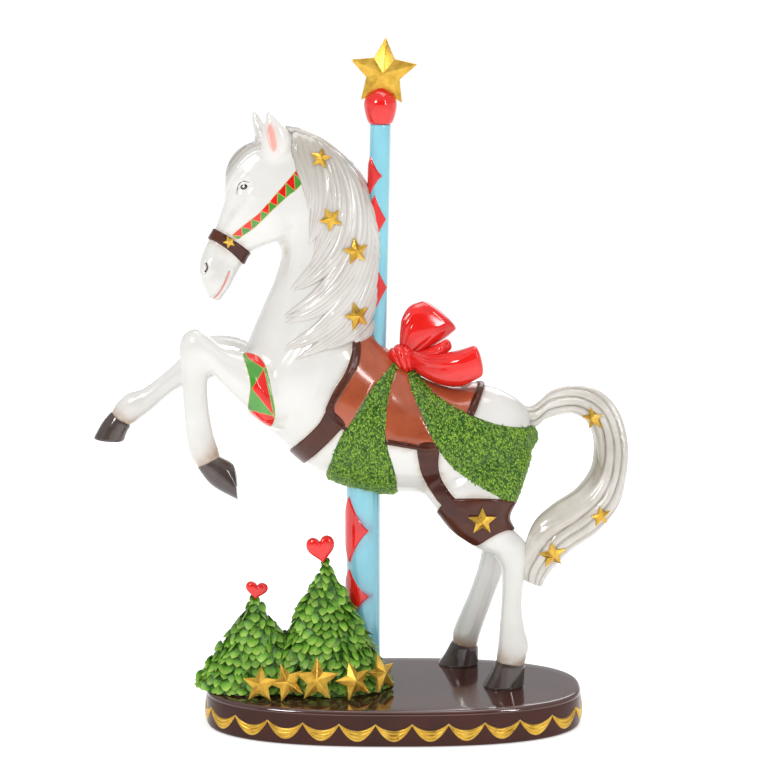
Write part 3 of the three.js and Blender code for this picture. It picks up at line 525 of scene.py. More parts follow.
# Cheek, brow, nose bone, nostril rim, lips, chin, throat, shoulder, elbow, flank, stifle, croup and tendons.
MUSCLES = [
    [-158, 700, 22, 26, 60, 4.0], [-190, 680, 9, 26, 40, -2.2], [-205, 752, 5, 10, 35, 2.4],
    [-203, 739, 7.5, 9, 20, -2.6], [-196, 731, 4, 9, -30, 1.6], [-222, 705, 5, 24, 62, -1.4],
    [-214, 700, 3.5, 30, 55, 1.6], [-249, 629, 8, 9, 60, 1.4], [-246, 609, 8, 10, 50, 1.6],
    [-224, 606, 5, 9, 60, 1.2], [-232, 640, 8, 12, 50, -0.6], [-168, 668, 6, 22, 20, 1.4],
    [-150, 640, 7, 34, 78, -2.2], [-172, 560, 12, 48, 72, 2.4], [-140, 520, 9, 40, 55, -2.6],
    [-150, 470, 30, 42, 60, 3.2], [-108, 450, 10, 46, 66, -2.4], [-190, 470, 12, 26, 80, 1.8],
    [-160, 412, 10, 22, 40, -2.4], [60, 330, 12, 30, 30, -2.6], [95, 345, 26, 46, 35, 3.0],
    [140, 400, 24, 34, -20, 2.6], [168, 372, 10, 30, 60, -1.8], [96, 290, 12, 30, 30, 1.2],
    [-20, 350, 26, 60, 0, 1.6]]


def refined(skin, marked):
    """Splits the marked triangles in four, and their neighbours to match."""
    n = len(skin.v)
    t = skin.t
    sides = np.stack([t, np.roll(t, -1, axis=1)], axis=2)
    keys = sides.min(2) * n + sides.max(2)
    chosen = np.unique(keys[marked])
    split = np.isin(keys, chosen)
    i, j = chosen // n, chosen % n
    mid = n + np.searchsorted(chosen, keys)
    skin.v = np.vstack([skin.v, 0.5 * (skin.v[i] + skin.v[j])])
    for key, value in skin.f.items():
        skin.f[key] = np.concatenate([value, 0.5 * (value[i] + value[j])])
    count = split.sum(1)
    out = [t[count == 0]]
    a, b, c = t[count == 3].T
    p, q, r = mid[count == 3].T
    out += [np.c_[a, p, r], np.c_[p, b, q], np.c_[r, q, c], np.c_[p, q, r]]
    for number in (1, 2):
        pick = count == number
        if not pick.any():
            continue
        odd = split[pick].argmax(1) if number == 1 else (~split[pick]).argmax(1)
        rows = np.arange(pick.sum())
        turn = odd if number == 1 else (odd + 1) % 3
        a, b, c = (t[pick][rows, (turn + k) % 3] for k in range(3))
        m = mid[pick][rows, turn]
        if number == 1:
            out += [np.c_[a, m, c], np.c_[m, b, c]]
        else:
            q = mid[pick][rows, (turn + 1) % 3]
            out += [np.c_[m, b, q], np.c_[a, m, q], np.c_[a, q, c]]
    skin.t = np.vstack(out)
    return skin


def zigzag_band(upper, lower, teeth):
    """A band cut in triangles: its outline, and the outline of the part above the zigzag."""
    top, low = evenly(through(upper, 60), 2 * teeth + 1), evenly(through(lower, 60), 2 * teeth + 1)
    zig = [top[k] if k % 2 == 0 else low[k] for k in range(2 * teeth + 1)]
    return np.vstack([top, low[::-1]]), np.vstack([top, zig[::-1]])


WHITE, BROWN, DARK, RED, GREEN, GOLD, PINK, INK = range(8)


BAND, BAND_RED = zigzag_band(STRAP_UPPER, STRAP_LOWER, 8)


def outlined(name, xz):
    """Distance into a named outline, negative outside."""
    return inside(closed(OUTLINES[name]), xz)


def within_any(names, xz):
    """Distance into the nearest of several named outlines."""
    return np.maximum.reduce([outlined(name, xz) for name in names])


def harness(xz):
    """How far inside the cheek band and the shoulder patch, which are painted in triangles."""
    return np.maximum(inside(BAND, xz), outlined("patch", xz))


def on_head(xz, low=560):
    """Where a point seen at xz lies on the head."""
    return (xz[:, 0] < -125) & (xz[:, 1] > low)


def mouth_and_nostril(xz):
    """Distance to the mouth's line and the place along it, and distance to the nostril's line."""
    return (*along(through(MOUTH, 24), xz), along(through(NOSTRIL, 16), xz)[0])


def shaped_horse():
    """The evened horse with its muscles, its mesh finer where thin lines will be painted."""
    skin = cast_horse()
    normals = skin.normals()
    skin.v += normals * mounds(skin, normals, MUSCLES)[:, None]
    skin.smooth(2)
    x, z = skin.v[:, 0], skin.v[:, 2]
    skin.v[:, 0] -= 6.5 * ease((x - 160) / 35) * ease((z - 300) / 25) * ease((440 - z) / 30)
    xz = seen_at(skin.v)
    mouth, _, nostril = mouth_and_nostril(xz)
    eye = np.hypot(*(xz - EYE_AT).T)
    face = ((mouth < 5) | (nostril < 6) | (eye < 13) | (xz[:, 1] > 788)) & on_head(xz, 580)
    if FINE:
        refined(skin, (face | (harness(xz) > -2))[skin.t].any(1))
    return skin


def drawn(skin):
    """At each vertex, how far inside or how near everything is that is drawn on the horse."""
    xz, normals, y = seen_at(skin.v), skin.normals(), skin.v[:, 1]
    mouth, mouth_at, nostril = mouth_and_nostril(xz)
    off_head = 40 * ~on_head(xz)
    near_ear, far_ear = inside(closed(EAR_PINK), xz), inside(closed(np.array(EAR_PINK) - [15, 0]), xz)
    ear = np.where(y < 30, near_ear, np.where(y > 45, far_ear, -FAR))
    faces_out = np.where(y < MIDDLE, -normals[:, 1], normals[:, 1])
    return {
        "normal": normals,
        "saddle": outlined("saddle", xz),
        "seat": outlined("seat", xz),
        "strap": within_any(("front_strap", "rear_strap", "thigh_wrap", "noseband"), xz),
        "mane": outlined("mane", xz),
        "garlands": within_any(("front_garland", "rear_garland"), xz),
        "forelock": np.where((y > 20) | (xz[:, 0] < -181), outlined("forelock", xz), -FAR),
        "mouth": mouth + off_head, "mouth_at": mouth_at,
        "nostril": nostril + off_head,
        "lid": along(through(LID, 24), xz)[0] + off_head,
        "deco": harness(xz),
        "red": np.maximum.reduce([inside(np.array(shape, float), xz) for shape in [BAND_RED] + PATCH_REDS]),
        "ear": ear - 8.0 * (faces_out < 0.2),
    }


CUTS = {"saddle": (0, EDGE), "seat": (0, 1.0), "strap": (0, EDGE), "deco": (0, GOLD_RIM),
        "red": (GOLD_LINE, -GOLD_LINE), "mouth": (LIP_LINE, 2.6), "forelock": (0, 1.5),
        "nostril": (NOSTRIL_LINE, 2.7), "lid": (LID_LINE,)}


def groove(distance, deep, wide, bank, at, reach):
    """A carved line between raised banks."""
    return deep * np.exp(-(distance / wide) ** 2) - bank * np.exp(-((distance - at) / reach) ** 2)


def forelock_ridges(f):
    """The forelock's strands, from 1 on a ridge to -1 between two."""
    return np.cos(2 * np.pi * f["forelock"] / STRAND_PITCH)


def relief(f, xz):
    """How far saddle, straps, mane, forelock and face stand out from the bare horse."""
    saddle, seat = f["saddle"], f["seat"]
    share = np.clip(saddle / np.maximum(saddle - seat, 1e-3), 0, 1)
    doubled = ease((-xz[:, 0] - 30) / 30)
    roll = np.abs(np.sin(2 * np.pi * share)) ** 0.6 * doubled + np.sin(np.pi * share) ** 0.6 * (1 - doubled)
    piping = np.where(seat < 0, 0.8 + 1.9 * roll, 0)
    saddle_lift = np.where(saddle > 0, 2.2 * ease(saddle / EDGE) + piping, 0)
    lift = np.maximum(saddle_lift, 2.7 * np.sqrt(ease(f["strap"] / 1.4)))
    lift *= 1 - 0.85 * ease(f["garlands"] / 3)
    lift = np.maximum(lift, 2.0 * ease((f["mane"] + 1) / 6))
    lift += np.where(f["deco"] > 0, 0.35, 0)
    lift -= groove(f["mouth"], 1.4, 1.8, 0.7, 4.4, 2.4)
    lift -= groove(f["nostril"], 2.6, 1.8, 0.7, 4.2, 2.0)
    lift -= 3.2 * ease(f["ear"] / 4.0)
    lift += (1.7 - 0.45 * (0.5 + 0.5 * forelock_ridges(f))) * ease(f["forelock"] / 2.2)
    lift -= groove(f["lid"], 0.8, 0.9, 0.5, 2.2, 1.2)
    return lift


def face_paints(skin):
    """Which paint each triangle has."""
    at = {k: f[skin.t].mean(1) for k, f in skin.f.items()}
    paint = np.full(len(skin.t), WHITE)
    paint[at["saddle"] > 0] = BROWN
    paint[(at["saddle"] > 0) & (at["seat"] < 0)] = DARK
    paint[at["strap"] > 0] = DARK
    deco = (at["deco"] > 0) & (at["strap"] < 0)
    paint[deco] = np.where(at["red"][deco] > 0, RED, GREEN)
    paint[deco & ((np.abs(at["red"]) < GOLD_LINE) | (at["deco"] < GOLD_RIM))] = GOLD
    paint[(at["mouth"] < LIP_LINE) & (at["mouth_at"] > 0.01)] = PINK
    paint[(at["nostril"] < NOSTRIL_LINE) | (at["lid"] < LID_LINE)] = INK
    return paint


def station_middle(station):
    """The middle of a station of a form."""
    front_x, front_z, back_x, back_z, y, _ = station
    return np.array([0.5 * (front_x + back_x), y, 0.5 * (front_z + back_z)])


def tints_and_painted_shade(skin, f):
    """Where mane and forelock darken, where tan lies above the hooves, and where tan painted shade lies in
    hollows and beside leather.
    """
    edges, n = skin.edges(), skin.normals()
    hollow = ((skin.mean_of_neighbours(edges, skin.v) - skin.v) * n).sum(1)[:, None]
    for _ in range(5):
        hollow = 0.5 * (hollow + skin.mean_of_neighbours(edges, hollow))
    leather = np.maximum(f["saddle"], f["strap"])
    dust = np.zeros(len(skin.v))
    for coronet, _, sole in HOOVES.values():
        ring = station_middle(coronet)
        down = station_middle(sole) - ring
        rise = -((skin.v - ring) @ down) / np.linalg.norm(down)
        close = np.linalg.norm(skin.v - ring, axis=1) < 60
        haze = 0.30 * np.exp(-np.maximum(rise, 0) / 22)
        rim = 0.70 * np.exp(-(np.maximum(rise - 2, 0) / 11) ** 2)
        dust = np.maximum(dust, close * (haze + rim))
    return {
        "mane": ease((f["mane"] + 3) / 9).astype(float),
        "forelock": ease((f["forelock"] + 2) / 16) * (0.75 + 0.25 * forelock_ridges(f)),
        "dust": dust,
        # hollow is tan painted shade where the surface sinks in; edge is tan painted shade at the foot of the
        # raised leather.
        "hollow": np.clip(hollow[:, 0] * 7.0 - 0.22, 0, 0.55),
        "edge": np.exp(-np.abs(np.minimum(leather, 0)) / 2.6) * (leather < 0),
        "blush": 0.12 * np.exp(-np.maximum(-f["ear"], 0) / 4.0) + 0.62 * ease((f["ear"] + 0.6) / 3.2),
    }


def patterned_horse():
    """The painted horse, the same without relief, and the paint of each triangle."""
    skin = shaped_horse()
    skin.f = drawn(skin)
    for name, levels in CUTS.items():
        for level in levels:
            skin.cut(name, level)
    f = skin.f
    plain = Skin(skin.v.copy(), skin.t)
    skin.v = skin.v + f.pop("normal") * relief(f, seen_at(skin.v))[:, None]
    paint = face_paints(skin)
    skin.f = tints_and_painted_shade(skin, f)
    return skin, plain, paint


# ---------------------------------------------------------------- materials
def shader(name, color, roughness, metallic=0.0, coat=0.0, coat_roughness=0.08, specular=0.5):
    """A material, its node tree and its principled shader."""
    material = bpy.data.materials.new(name)
    material.use_nodes = True
    surface = material.node_tree.nodes["Principled BSDF"]
    for key, value in {"Base Color": (*color, 1), "Roughness": roughness, "Metallic": metallic,
                       "Coat Weight": coat, "Coat Roughness": coat_roughness,
                       "Specular IOR Level": specular}.items():
        surface.inputs[key].default_value = value
    return material, material.node_tree, surface


def node(tree, kind, inputs=None, **settings):
    """A new node; an input that is a socket is linked, any other is set."""
    made = tree.nodes.new(kind)
    for key, value in settings.items():
        setattr(made, key, value)
    for key, value in (inputs or {}).items():
        socket = made.inputs[key]
        if isinstance(value, bpy.types.NodeSocket):
            tree.links.new(value, socket)
        else:
            socket.default_value = (*value, 1) if socket.type == "RGBA" else value
    return made


def coordinates(tree):
    """Places in the object."""
    return node(tree, "ShaderNodeTexCoord").outputs["Object"]


def height_in(tree, place):
    """The height of a place."""
    return node(tree, "ShaderNodeSeparateXYZ", {0: place}).outputs["Z"]


def grain(tree, scale, detail=4.0, rough=0.6, stretch=(1, 1, 1)):
    """Noise, between nought and one."""
    place = node(tree, "ShaderNodeMapping", {"Vector": coordinates(tree), "Scale": stretch}).outputs[0]
    return node(tree, "ShaderNodeTexNoise", {"Vector": place, "Scale": scale, "Detail": detail,
                                             "Roughness": rough}).outputs["Fac"]


def ramp(tree, value, stops):
    """A colour that follows a value."""
    made = node(tree, "ShaderNodeValToRGB", {"Fac": value})
    stripes = made.color_ramp.elements
    while len(stripes) < len(stops):
        stripes.new(0.5)
    for element, (at, tone) in zip(stripes, stops):
        element.position, element.color = at, (*tone, 1)
    return made.outputs["Color"]


def mixed(tree, share, a, b):
    """Two values or colours mixed by a share."""
    return node(tree, "ShaderNodeMix", {0: share, 6: a, 7: b}, data_type="RGBA").outputs[2]


def spread(tree, value, low, high, new_low=0.0, new_high=1.0):
    """A value mapped from one range to another, and held there."""
    return node(tree, "ShaderNodeMapRange", {"Value": value, "From Min": low, "From Max": high,
                                             "To Min": new_low, "To Max": new_high}).outputs["Result"]


def times(tree, a, b):
    """The product of two values."""
    return node(tree, "ShaderNodeMath", {0: a, 1: b}, operation="MULTIPLY", use_clamp=True).outputs[0]


def attribute(tree, name):
    """A value painted on the mesh."""
    return node(tree, "ShaderNodeAttribute", attribute_name=name).outputs["Fac"]


def pointiness(tree):
    """How far the surface stands out or sinks in."""
    return node(tree, "ShaderNodeNewGeometry").outputs["Pointiness"]


def wire(tree, surface, tone, cloud, smooth, rough, bump, strength, distance=0.0012):
    """Gives the shader its tone, a roughness between two values as a cloud says, and its bump."""
    tree.links.new(tone, surface.inputs["Base Color"])
    tree.links.new(spread(tree, cloud, 0.3, 0.7, smooth, rough), surface.inputs["Roughness"])
    normal = node(tree, "ShaderNodeBump", {"Height": bump, "Strength": strength, "Distance": distance})
    tree.links.new(normal.outputs["Normal"], surface.inputs["Normal"])


def painted(name, color, dark, roughness, coat, scale, strength=0.12, specular=0.5):
    """Brushed-on gloss paint over cast resin: uneven tone, faint brush grain, and hollows darkened as painted
    shade.
    """
    material, tree, surface = shader(name, color, roughness, coat=coat, specular=specular)
    cloud = grain(tree, scale, 5.0)
    tone = ramp(tree, cloud, [(0.3, dark), (0.62, color)])
    tone = mixed(tree, spread(tree, grain(tree, scale * 14, 3.0), 0.35, 0.75, 0.0, 0.25), tone, dark)
    # Darker where the surface sinks in: painted shade in folds and hollows.
    tone = mixed(tree, spread(tree, pointiness(tree), 0.5, 0.42, 0.0, 0.55), tone,
                 tuple(0.45 * c for c in dark))
    bump = mixed(tree, 0.35, grain(tree, 55.0, 2.0, 0.5), grain(tree, 420.0, 3.0))
    wire(tree, surface, tone, cloud, roughness * 0.75, roughness * 1.5, bump, strength)
    return material


def white_paint():
    """Pearl white over the body, taupe in the mane's bed, and tan painted shade in hollows and beside the
    straps.
    """
    white, shade, taupe = (0.715, 0.705, 0.675), (0.63, 0.615, 0.58), (0.45, 0.415, 0.37)
    material, tree, surface = shader("horse_white", white, 0.16, coat=0.7, coat_roughness=0.06)
    cloud = grain(tree, 9.0, 4.0, 0.5)
    tone = ramp(tree, cloud, [(0.25, shade), (0.6, white)])
    patchy = spread(tree, grain(tree, 60.0, 5.0), 0.3, 0.7, 0.5, 1.0)
    streaky = spread(tree, patchy, 0.5, 1, 0.2, 0.6)
    # Of these, hollow and edge are tan painted shade; mane, forelock, dust and blush are the paint's own
    # tints.
    for name, patches, color in (
            ("mane", None, taupe), ("forelock", None, (0.31, 0.28, 0.245)),
            ("hollow", patchy, (0.50, 0.40, 0.29)), ("edge", streaky, (0.42, 0.29, 0.20)),
            ("dust", patchy, (0.36, 0.23, 0.14)), ("blush", None, (0.84, 0.30, 0.24))):
        share = attribute(tree, name)
        tone = mixed(tree, times(tree, share, patches) if patches else share, tone, color)
    bump = mixed(tree, 0.2, grain(tree, 38.0, 2.0, 0.5), grain(tree, 500.0, 2.0))
    wire(tree, surface, tone, cloud, 0.13, 0.24, bump, 0.10)
    return material


def hair_paint(name, light, middle, deep, grooves):
    """Pearl taupe hair with fine strand lines, and painted shade darkening the grooves between strands."""
    material, tree, surface = shader(name, light, 0.20, coat=0.7)
    cloud = grain(tree, 16.0)
    tone = mixed(tree, spread(tree, cloud, 0.35, 0.62), middle, light)
    high = spread(tree, height_in(tree, coordinates(tree)), 0.69, 0.82, 0.0, 0.9)
    tone = mixed(tree, high, tone, (0.37, 0.335, 0.29))
    # Darker in the strand grooves: painted shade.
    tone = mixed(tree, spread(tree, attribute(tree, "strand"), 0.72, 0.05, 0.0, grooves), tone, deep)
    wire(tree, surface, tone, cloud, 0.16, 0.30, grain(tree, 300.0, 3.0), 0.10, 0.0008)
    return material


def foliage(name, bright, mid, deep):
    """Leaves with a slight gloss: pale tips as a painted highlight, deep green at the root as painted shade.
    """
    material, tree, surface = shader(name, mid, 0.34, specular=0.3)
    # Deep green at the root and pale at the tip: painted shade among the leaves and a painted highlight on
    # the tips.
    tone = ramp(tree, attribute(tree, "tip"), [(0.0, deep), (0.18, deep), (0.48, mid), (0.9, bright)])
    tone = mixed(tree, spread(tree, attribute(tree, "shade"), 0.0, 1.0, 0.60, 0.0), tone, deep)
    cloud = grain(tree, 260.0)
    tone = mixed(tree, spread(tree, cloud, 0.45, 0.75, 0.0, 0.40), tone, bright)
    wire(tree, surface, tone, cloud, 0.28, 0.5, grain(tree, 600.0, 3.0), 0.25, 0.0008)
    return material


def gold_with_painted_light():
    """Gold paint, lighter on ridges as a painted highlight and brown in hollows as painted shade."""
    material, tree, surface = shader("gold_with_painted_light", (0.60, 0.40, 0.09), 0.26, metallic=0.85)
    cloud = grain(tree, 70.0, 5.0, 0.65)
    dull, yellow, bright = (0.42, 0.22, 0.03), (0.64, 0.38, 0.05), (0.80, 0.53, 0.10)
    tone = ramp(tree, cloud, [(0.25, dull), (0.5, yellow), (0.75, bright)])
    point = pointiness(tree)
    # Pale gold on ridges is a painted highlight; dark brown in hollows is painted shade.
    tone = mixed(tree, spread(tree, point, 0.53, 0.62, 0.0, 0.7), tone, (0.92, 0.74, 0.30))
    tone = mixed(tree, spread(tree, point, 0.48, 0.40, 0.0, 0.8), tone, (0.16, 0.075, 0.02))
    wire(tree, surface, tone, cloud, 0.24, 0.42, grain(tree, 380.0), 0.35, 0.0006)
    return material


def pole_paint():
    """Pale blue gloss, with a wash of purple beside the lozenges low on the pole."""
    blue, deep = (0.24, 0.60, 0.70), (0.16, 0.47, 0.60)
    material, tree, surface = shader("pole_blue", blue, 0.14, coat=0.8)
    cloud = grain(tree, 20.0, stretch=(1, 1, 0.25))
    tone = ramp(tree, cloud, [(0.3, deep), (0.6, blue)])
    low = spread(tree, height_in(tree, coordinates(tree)), 0.34, 0.30)
    patch = spread(tree, grain(tree, 26.0, 3.0), 0.40, 0.62, 0.15, 1.0)
    wash = times(tree, times(tree, attribute(tree, "halo"), low), patch)
    tone = mixed(tree, wash, tone, (0.22, 0.10, 0.20))
    wire(tree, surface, tone, cloud, 0.10, 0.22, grain(tree, 60.0, 2.0, stretch=(1, 1, 0.3)), 0.12)
    return material


PAINT = {
    "white": white_paint(), "gold": gold_with_painted_light(), "pole": pole_paint(),
    "hair": hair_paint("hair_taupe", (0.67, 0.65, 0.615), (0.58, 0.55, 0.51), (0.33, 0.285, 0.24), 0.7),
    "tail": hair_paint("hair_tail", (0.66, 0.635, 0.59), (0.52, 0.48, 0.42), (0.25, 0.20, 0.15), 0.9),
    "leaf": foliage("garland_leaf", (0.54, 0.78, 0.12), (0.22, 0.48, 0.032), (0.012, 0.070, 0.002)),
    "fir": foliage("fir_leaf", (0.40, 0.62, 0.10), (0.13, 0.38, 0.024), (0.010, 0.075, 0.002))}
# Name, colour, darker colour, roughness, coat, size of the cloudy patches, and then bump and specular.
for key, *look in (
        ("brown", "saddle_brown", (0.44, 0.100, 0.042), (0.29, 0.060, 0.026), 0.14, 0.5, 22),
        ("dark", "strap_brown", (0.088, 0.023, 0.012), (0.045, 0.010, 0.006), 0.16, 0.1, 24, 0.12, 0.3),
        ("red", "red_gloss", (0.80, 0.018, 0.014), (0.60, 0.009, 0.008), 0.09, 0.4, 20, 0.035),
        ("green", "harness_green", (0.09, 0.36, 0.05), (0.05, 0.24, 0.03), 0.2, 0.5, 30),
        ("line", "gold_line", (0.62, 0.42, 0.10), (0.42, 0.26, 0.05), 0.3, 0.3, 60),
        ("pink", "ear_pink", (0.86, 0.33, 0.27), (0.75, 0.22, 0.18), 0.22, 0.5, 60),
        ("ink", "ink", (0.035, 0.028, 0.024), (0.02, 0.015, 0.012), 0.2, 0.5, 60),
        ("hoof", "hoof_grey", (0.085, 0.062, 0.057), (0.050, 0.036, 0.032), 0.07, 0.3, 30, 0.03),
        ("chocolate", "base_chocolate", (0.075, 0.024, 0.018), (0.050, 0.014, 0.010), 0.07, 1.0, 12, 0.16),
        # The wall is a darker copy of the chocolate paint: painted shade on the slab's side.
        ("wall", "base_wall", (0.052, 0.010, 0.005), (0.030, 0.006, 0.003), 0.16, 0.0, 12, 0.12, 0.25),
        ("eye_white", "eye_white", (0.80, 0.80, 0.77), (0.70, 0.69, 0.66), 0.1, 1.0, 90),
        ("iris", "eye_brown", (0.10, 0.065, 0.05), (0.05, 0.03, 0.025), 0.08, 1.0, 200),
        ("glint", "eye_glint", (0.92, 0.92, 0.92), (0.88, 0.88, 0.88), 0.1, 1.0, 90)):
    PAINT[key] = painted(*look)


# ---------------------------------------------------------------- hair
def under(bvh, x, z, side=-1):
    """Where a line from the near (-1) or far (1) eye to a place on the middle plane meets the surface."""
    origin = Vector((EYE[0], EYE[1] if side < 0 else 2 * MIDDLE - EYE[1], EYE[2]))
    return bvh.ray_cast(origin, (Vector((x, MIDDLE, z)) - origin).normalized())[:2]


def laid(bvh, points, side):
    """A path drawn on the middle plane, laid on one flank: surface points with their directions out."""
    found = []
    for x, z in through(points, 90):
        hit, normal = under(bvh, x, z, side)
        if hit is None or (hit.y - MIDDLE) * side < -6:
            hit, normal = bvh.find_nearest(Vector((x, MIDDLE, z)))[:2]
        found.append((*hit, *normal))
    return softened(np.array(found), 4)


STRAND_WIDTH = 8.5
LOCK_SECTION = np.r_[-1.0, -0.93, -0.8, np.linspace(-0.66, 0.66, 11), 0.8, 0.93, 1.0]


def lock(bvh, found, width, lift, raised=0.0, rings=34, sweep=0.0, root=0.35, strands=None, sunk=0.0):
    """One tapering lock laid on the surface: a domed section with strand grooves, ending in a point.
    It starts at a share root of its width, and sunk into its neighbours where sunk nears 1."""
    path = evenly(found, rings)
    p, n = path[:, :3], unit(path[:, 3:])
    across = unit(np.cross(n, unit(np.gradient(p, axis=0))))
    t = np.linspace(0, 1, rings)
    full = (root + (1 - root) * ease(t / 0.18)) * np.clip(1 - t**2.4, 0, 1) ** 0.72
    full = np.maximum(full, 0.015)
    strands = strands or max(2, round(width / STRAND_WIDTH))
    phase = sweep * np.sin(2.2 * t + sweep)

    def surface(r, a):
        return np.array(bvh.find_nearest(Vector(p[r] + across[r] * (a * 0.5 * width * full[r])))[0])

    rows, marks = [], []
    for r in range(rings):
        row, mark = [], []
        for a in LOCK_SECTION:
            dome = math.sqrt(max(0.0, 1 - a * a))
            line = abs(math.sin(0.5 * math.pi * strands * (a + 0.25 * phase[r]) + 0.6 * sweep))
            height = full[r] ** 0.6 * lift * dome * (0.80 + 0.20 * line**0.6)
            height *= 1 - sunk + sunk * ease(t[r] / 0.14)
            height += raised * min(1.0, 5 * (1 - abs(a))) * (1 - t[r] ** 6)
            row.append(surface(r, a) + n[r] * (height - 0.7))
            mark.append(0.15 + 0.85 * line if abs(a) < 0.85 else 0.0)
        for a in (0.6, 0.0, -0.6):
            row.append(surface(r, a) - n[r] * 2.6)
            mark.append(0.0)
        rows.append(row)
        marks.append(mark)
    skin = tube(np.array(rows))
    # Low marks lie in the grooves, which the hair paint darkens as painted shade.
    skin.f["strand"] = np.r_[np.array(marks).ravel(), 0.3, 0.3]
    return skin


MANE_GUIDES = [
    [[-129, 812], [-121, 790], [-115, 765], [-112, 740], [-116, 711]],
    [[-124, 816], [-109, 788], [-101, 752], [-101, 712], [-117, 659]],
    [[-118, 813], [-95, 782], [-84, 738], [-87, 690], [-114, 634]],
    [[-100, 803], [-72, 766], [-60, 715], [-71, 662], [-108, 618], [-148, 593]],
    [[-80, 787], [-52, 740], [-45, 685], [-63, 628], [-106, 580], [-155, 557]],
    [[-62, 766], [-36, 712], [-33, 650], [-55, 590], [-104, 541], [-165, 511]],
    [[-46, 742], [-26, 684], [-28, 615], [-52, 560], [-94, 524], [-138, 499]],
    [[-34, 705], [-22, 645], [-26, 585], [-42, 550], [-68, 528], [-102, 513]],
    [[-26, 660], [-21, 610], [-24, 570], [-32, 547], [-44, 534], [-62, 521]]]
CREST = [[-146, 820], [-140, 819], [-129, 816], [-117, 811], [-100, 800], [-84, 789], [-69, 774], [-57, 760],
         [-45, 745], [-38, 736], [-31, 718], [-27, 701], [-25, 684], [-25, 631], [-26, 585], [-28, 545]]


def between(guides, at, gather=0.0):
    """A path part of the way from one guide to the next."""
    k = min(int(at), len(guides) - 2)
    share = at - k
    a, b = evenly(through(guides[k], 40), 24), evenly(through(guides[k + 1], 40), 24)
    path = (1 - share) * a + share * b
    end = (a if share < 0.5 else b)[-1]
    return path + gather * np.linspace(0, 1, 24)[:, None] ** 2.2 * (end - path[-1])


def mane(bvh, side, count, extra):
    """The locks of one flank: broad ones side by side, and extra thin ones on them."""
    locks = []
    for k in range(count):
        path = between(MANE_GUIDES, (len(MANE_GUIDES) - 1) * k / (count - 1), 0.72)
        long = 1 - 0.06 * rng.random()
        found = laid(bvh, path, side)
        found = found[:int(len(found) * long)]
        locks.append(lock(bvh, found, 28 + 14 * rng.random(), 4.6 + 2.4 * rng.random(),
                          1.6 * (k % 2), sweep=rng.uniform(-1.6, 1.6), root=0.6, sunk=0.8))
    for k in range(extra):
        at = (len(MANE_GUIDES) - 1.4) * (k + 0.35 + 0.3 * rng.random()) / extra
        path = between(MANE_GUIDES, at, 0.5)
        first, last = int(2 + 7 * rng.random()), int(18 + 6 * rng.random())
        found = laid(bvh, path[first:last], side)
        locks.append(lock(bvh, found, 9 + 4 * rng.random(), 3.0, 2.6, root=0.05,
                          sweep=rng.uniform(-1.6, 1.6), strands=3))
    return locks


def tail_skin():
    """The tail as one body of lobed, slowly turning locks that draw together to a point."""
    rings, sides = (260, 120) if FINE else (120, 72)
    t = np.linspace(0, 1, rings)[:, None]
    angle = around(sides)[None, :]
    turn = angle + 1.5 * t + 0.30 * np.sin(2 * angle + 1 + 2 * t) + 0.18 * np.sin(3 * angle - 3.5 * t)
    lobes = np.abs(np.sin(3.5 * turn)) ** 0.55
    strands = np.abs(np.sin(13 * turn + 1.3 * np.sin(5 * t))) ** 0.7
    depth = 0.30 * ease(t / 0.10) * (1 - 0.35 * t)
    factor = 1.03 - depth * (1 - lobes) - 0.05 * ease(t / 0.08) * (1 - strands)
    skin = tube(swelled(profile_rings(TAIL, rings, sides), factor[:, :, None]))
    # Low marks lie in the grooves, which the hair paint darkens as painted shade.
    mark = np.clip(0.75 * lobes**1.6 + 0.3 * strands, 0, 1)
    skin.f["strand"] = np.r_[mark.ravel(), 1, 1]
    return skin


# ---------------------------------------------------------------- stars, hearts, hooves, eyes
def basis(normal, turn=0.0):
    """Side, up and out directions of something that faces along normal."""
    n = np.asarray(normal, float)
    n = n / np.linalg.norm(n)
    side = np.cross([0, 0, 1], n)
    side /= np.linalg.norm(side)
    up = np.cross(n, side)
    c, s = turned(turn)
    return c * side + s * up, -s * side + c * up, n


def star_skin(radius, thick, rim, waist=0.46, two_faced=False):
    """A five-pointed star with softly rounded ridges, face up."""
    k = np.arange(10)
    angle = np.pi / 2 + np.pi * k / 5
    reach = np.where(k % 2, waist * radius, radius)
    ring = np.c_[reach * np.cos(angle), reach * np.sin(angle), np.zeros(10)]
    low = ring + [0, 0, -rim if two_faced else 0]
    rings = np.stack([low, ring + [0, 0, rim]])
    skin = tube(rings, (np.array([0, 0, -thick if two_faced else 0]), np.array([0, 0, thick])))
    return bevelled(skin, 0.012 * radius + 0.12, 2)


def placed(skin, point, axes):
    """A skin drawn round the origin, set at a point with its side, up and out directions."""
    side, up, out = axes
    v = skin.v[:, :1] * side + skin.v[:, 1:2] * up + skin.v[:, 2:3] * out + np.asarray(point)
    return Skin(v, skin.t, **skin.f)


def seat(bvh, x, z, reach):
    """Surface point and outward direction under a small disc drawn on the middle plane."""
    rim = [turned(degrees) for degrees in range(0, 360, 45)]
    hits = [under(bvh, x + reach * c, z + reach * s)[0] for c, s in rim]
    touched = np.array([hit for hit in hits if hit is not None])
    middle = touched.mean(0)
    normal = np.linalg.svd(touched - middle)[2][2]
    return middle, normal if normal[1] < 0 else -normal


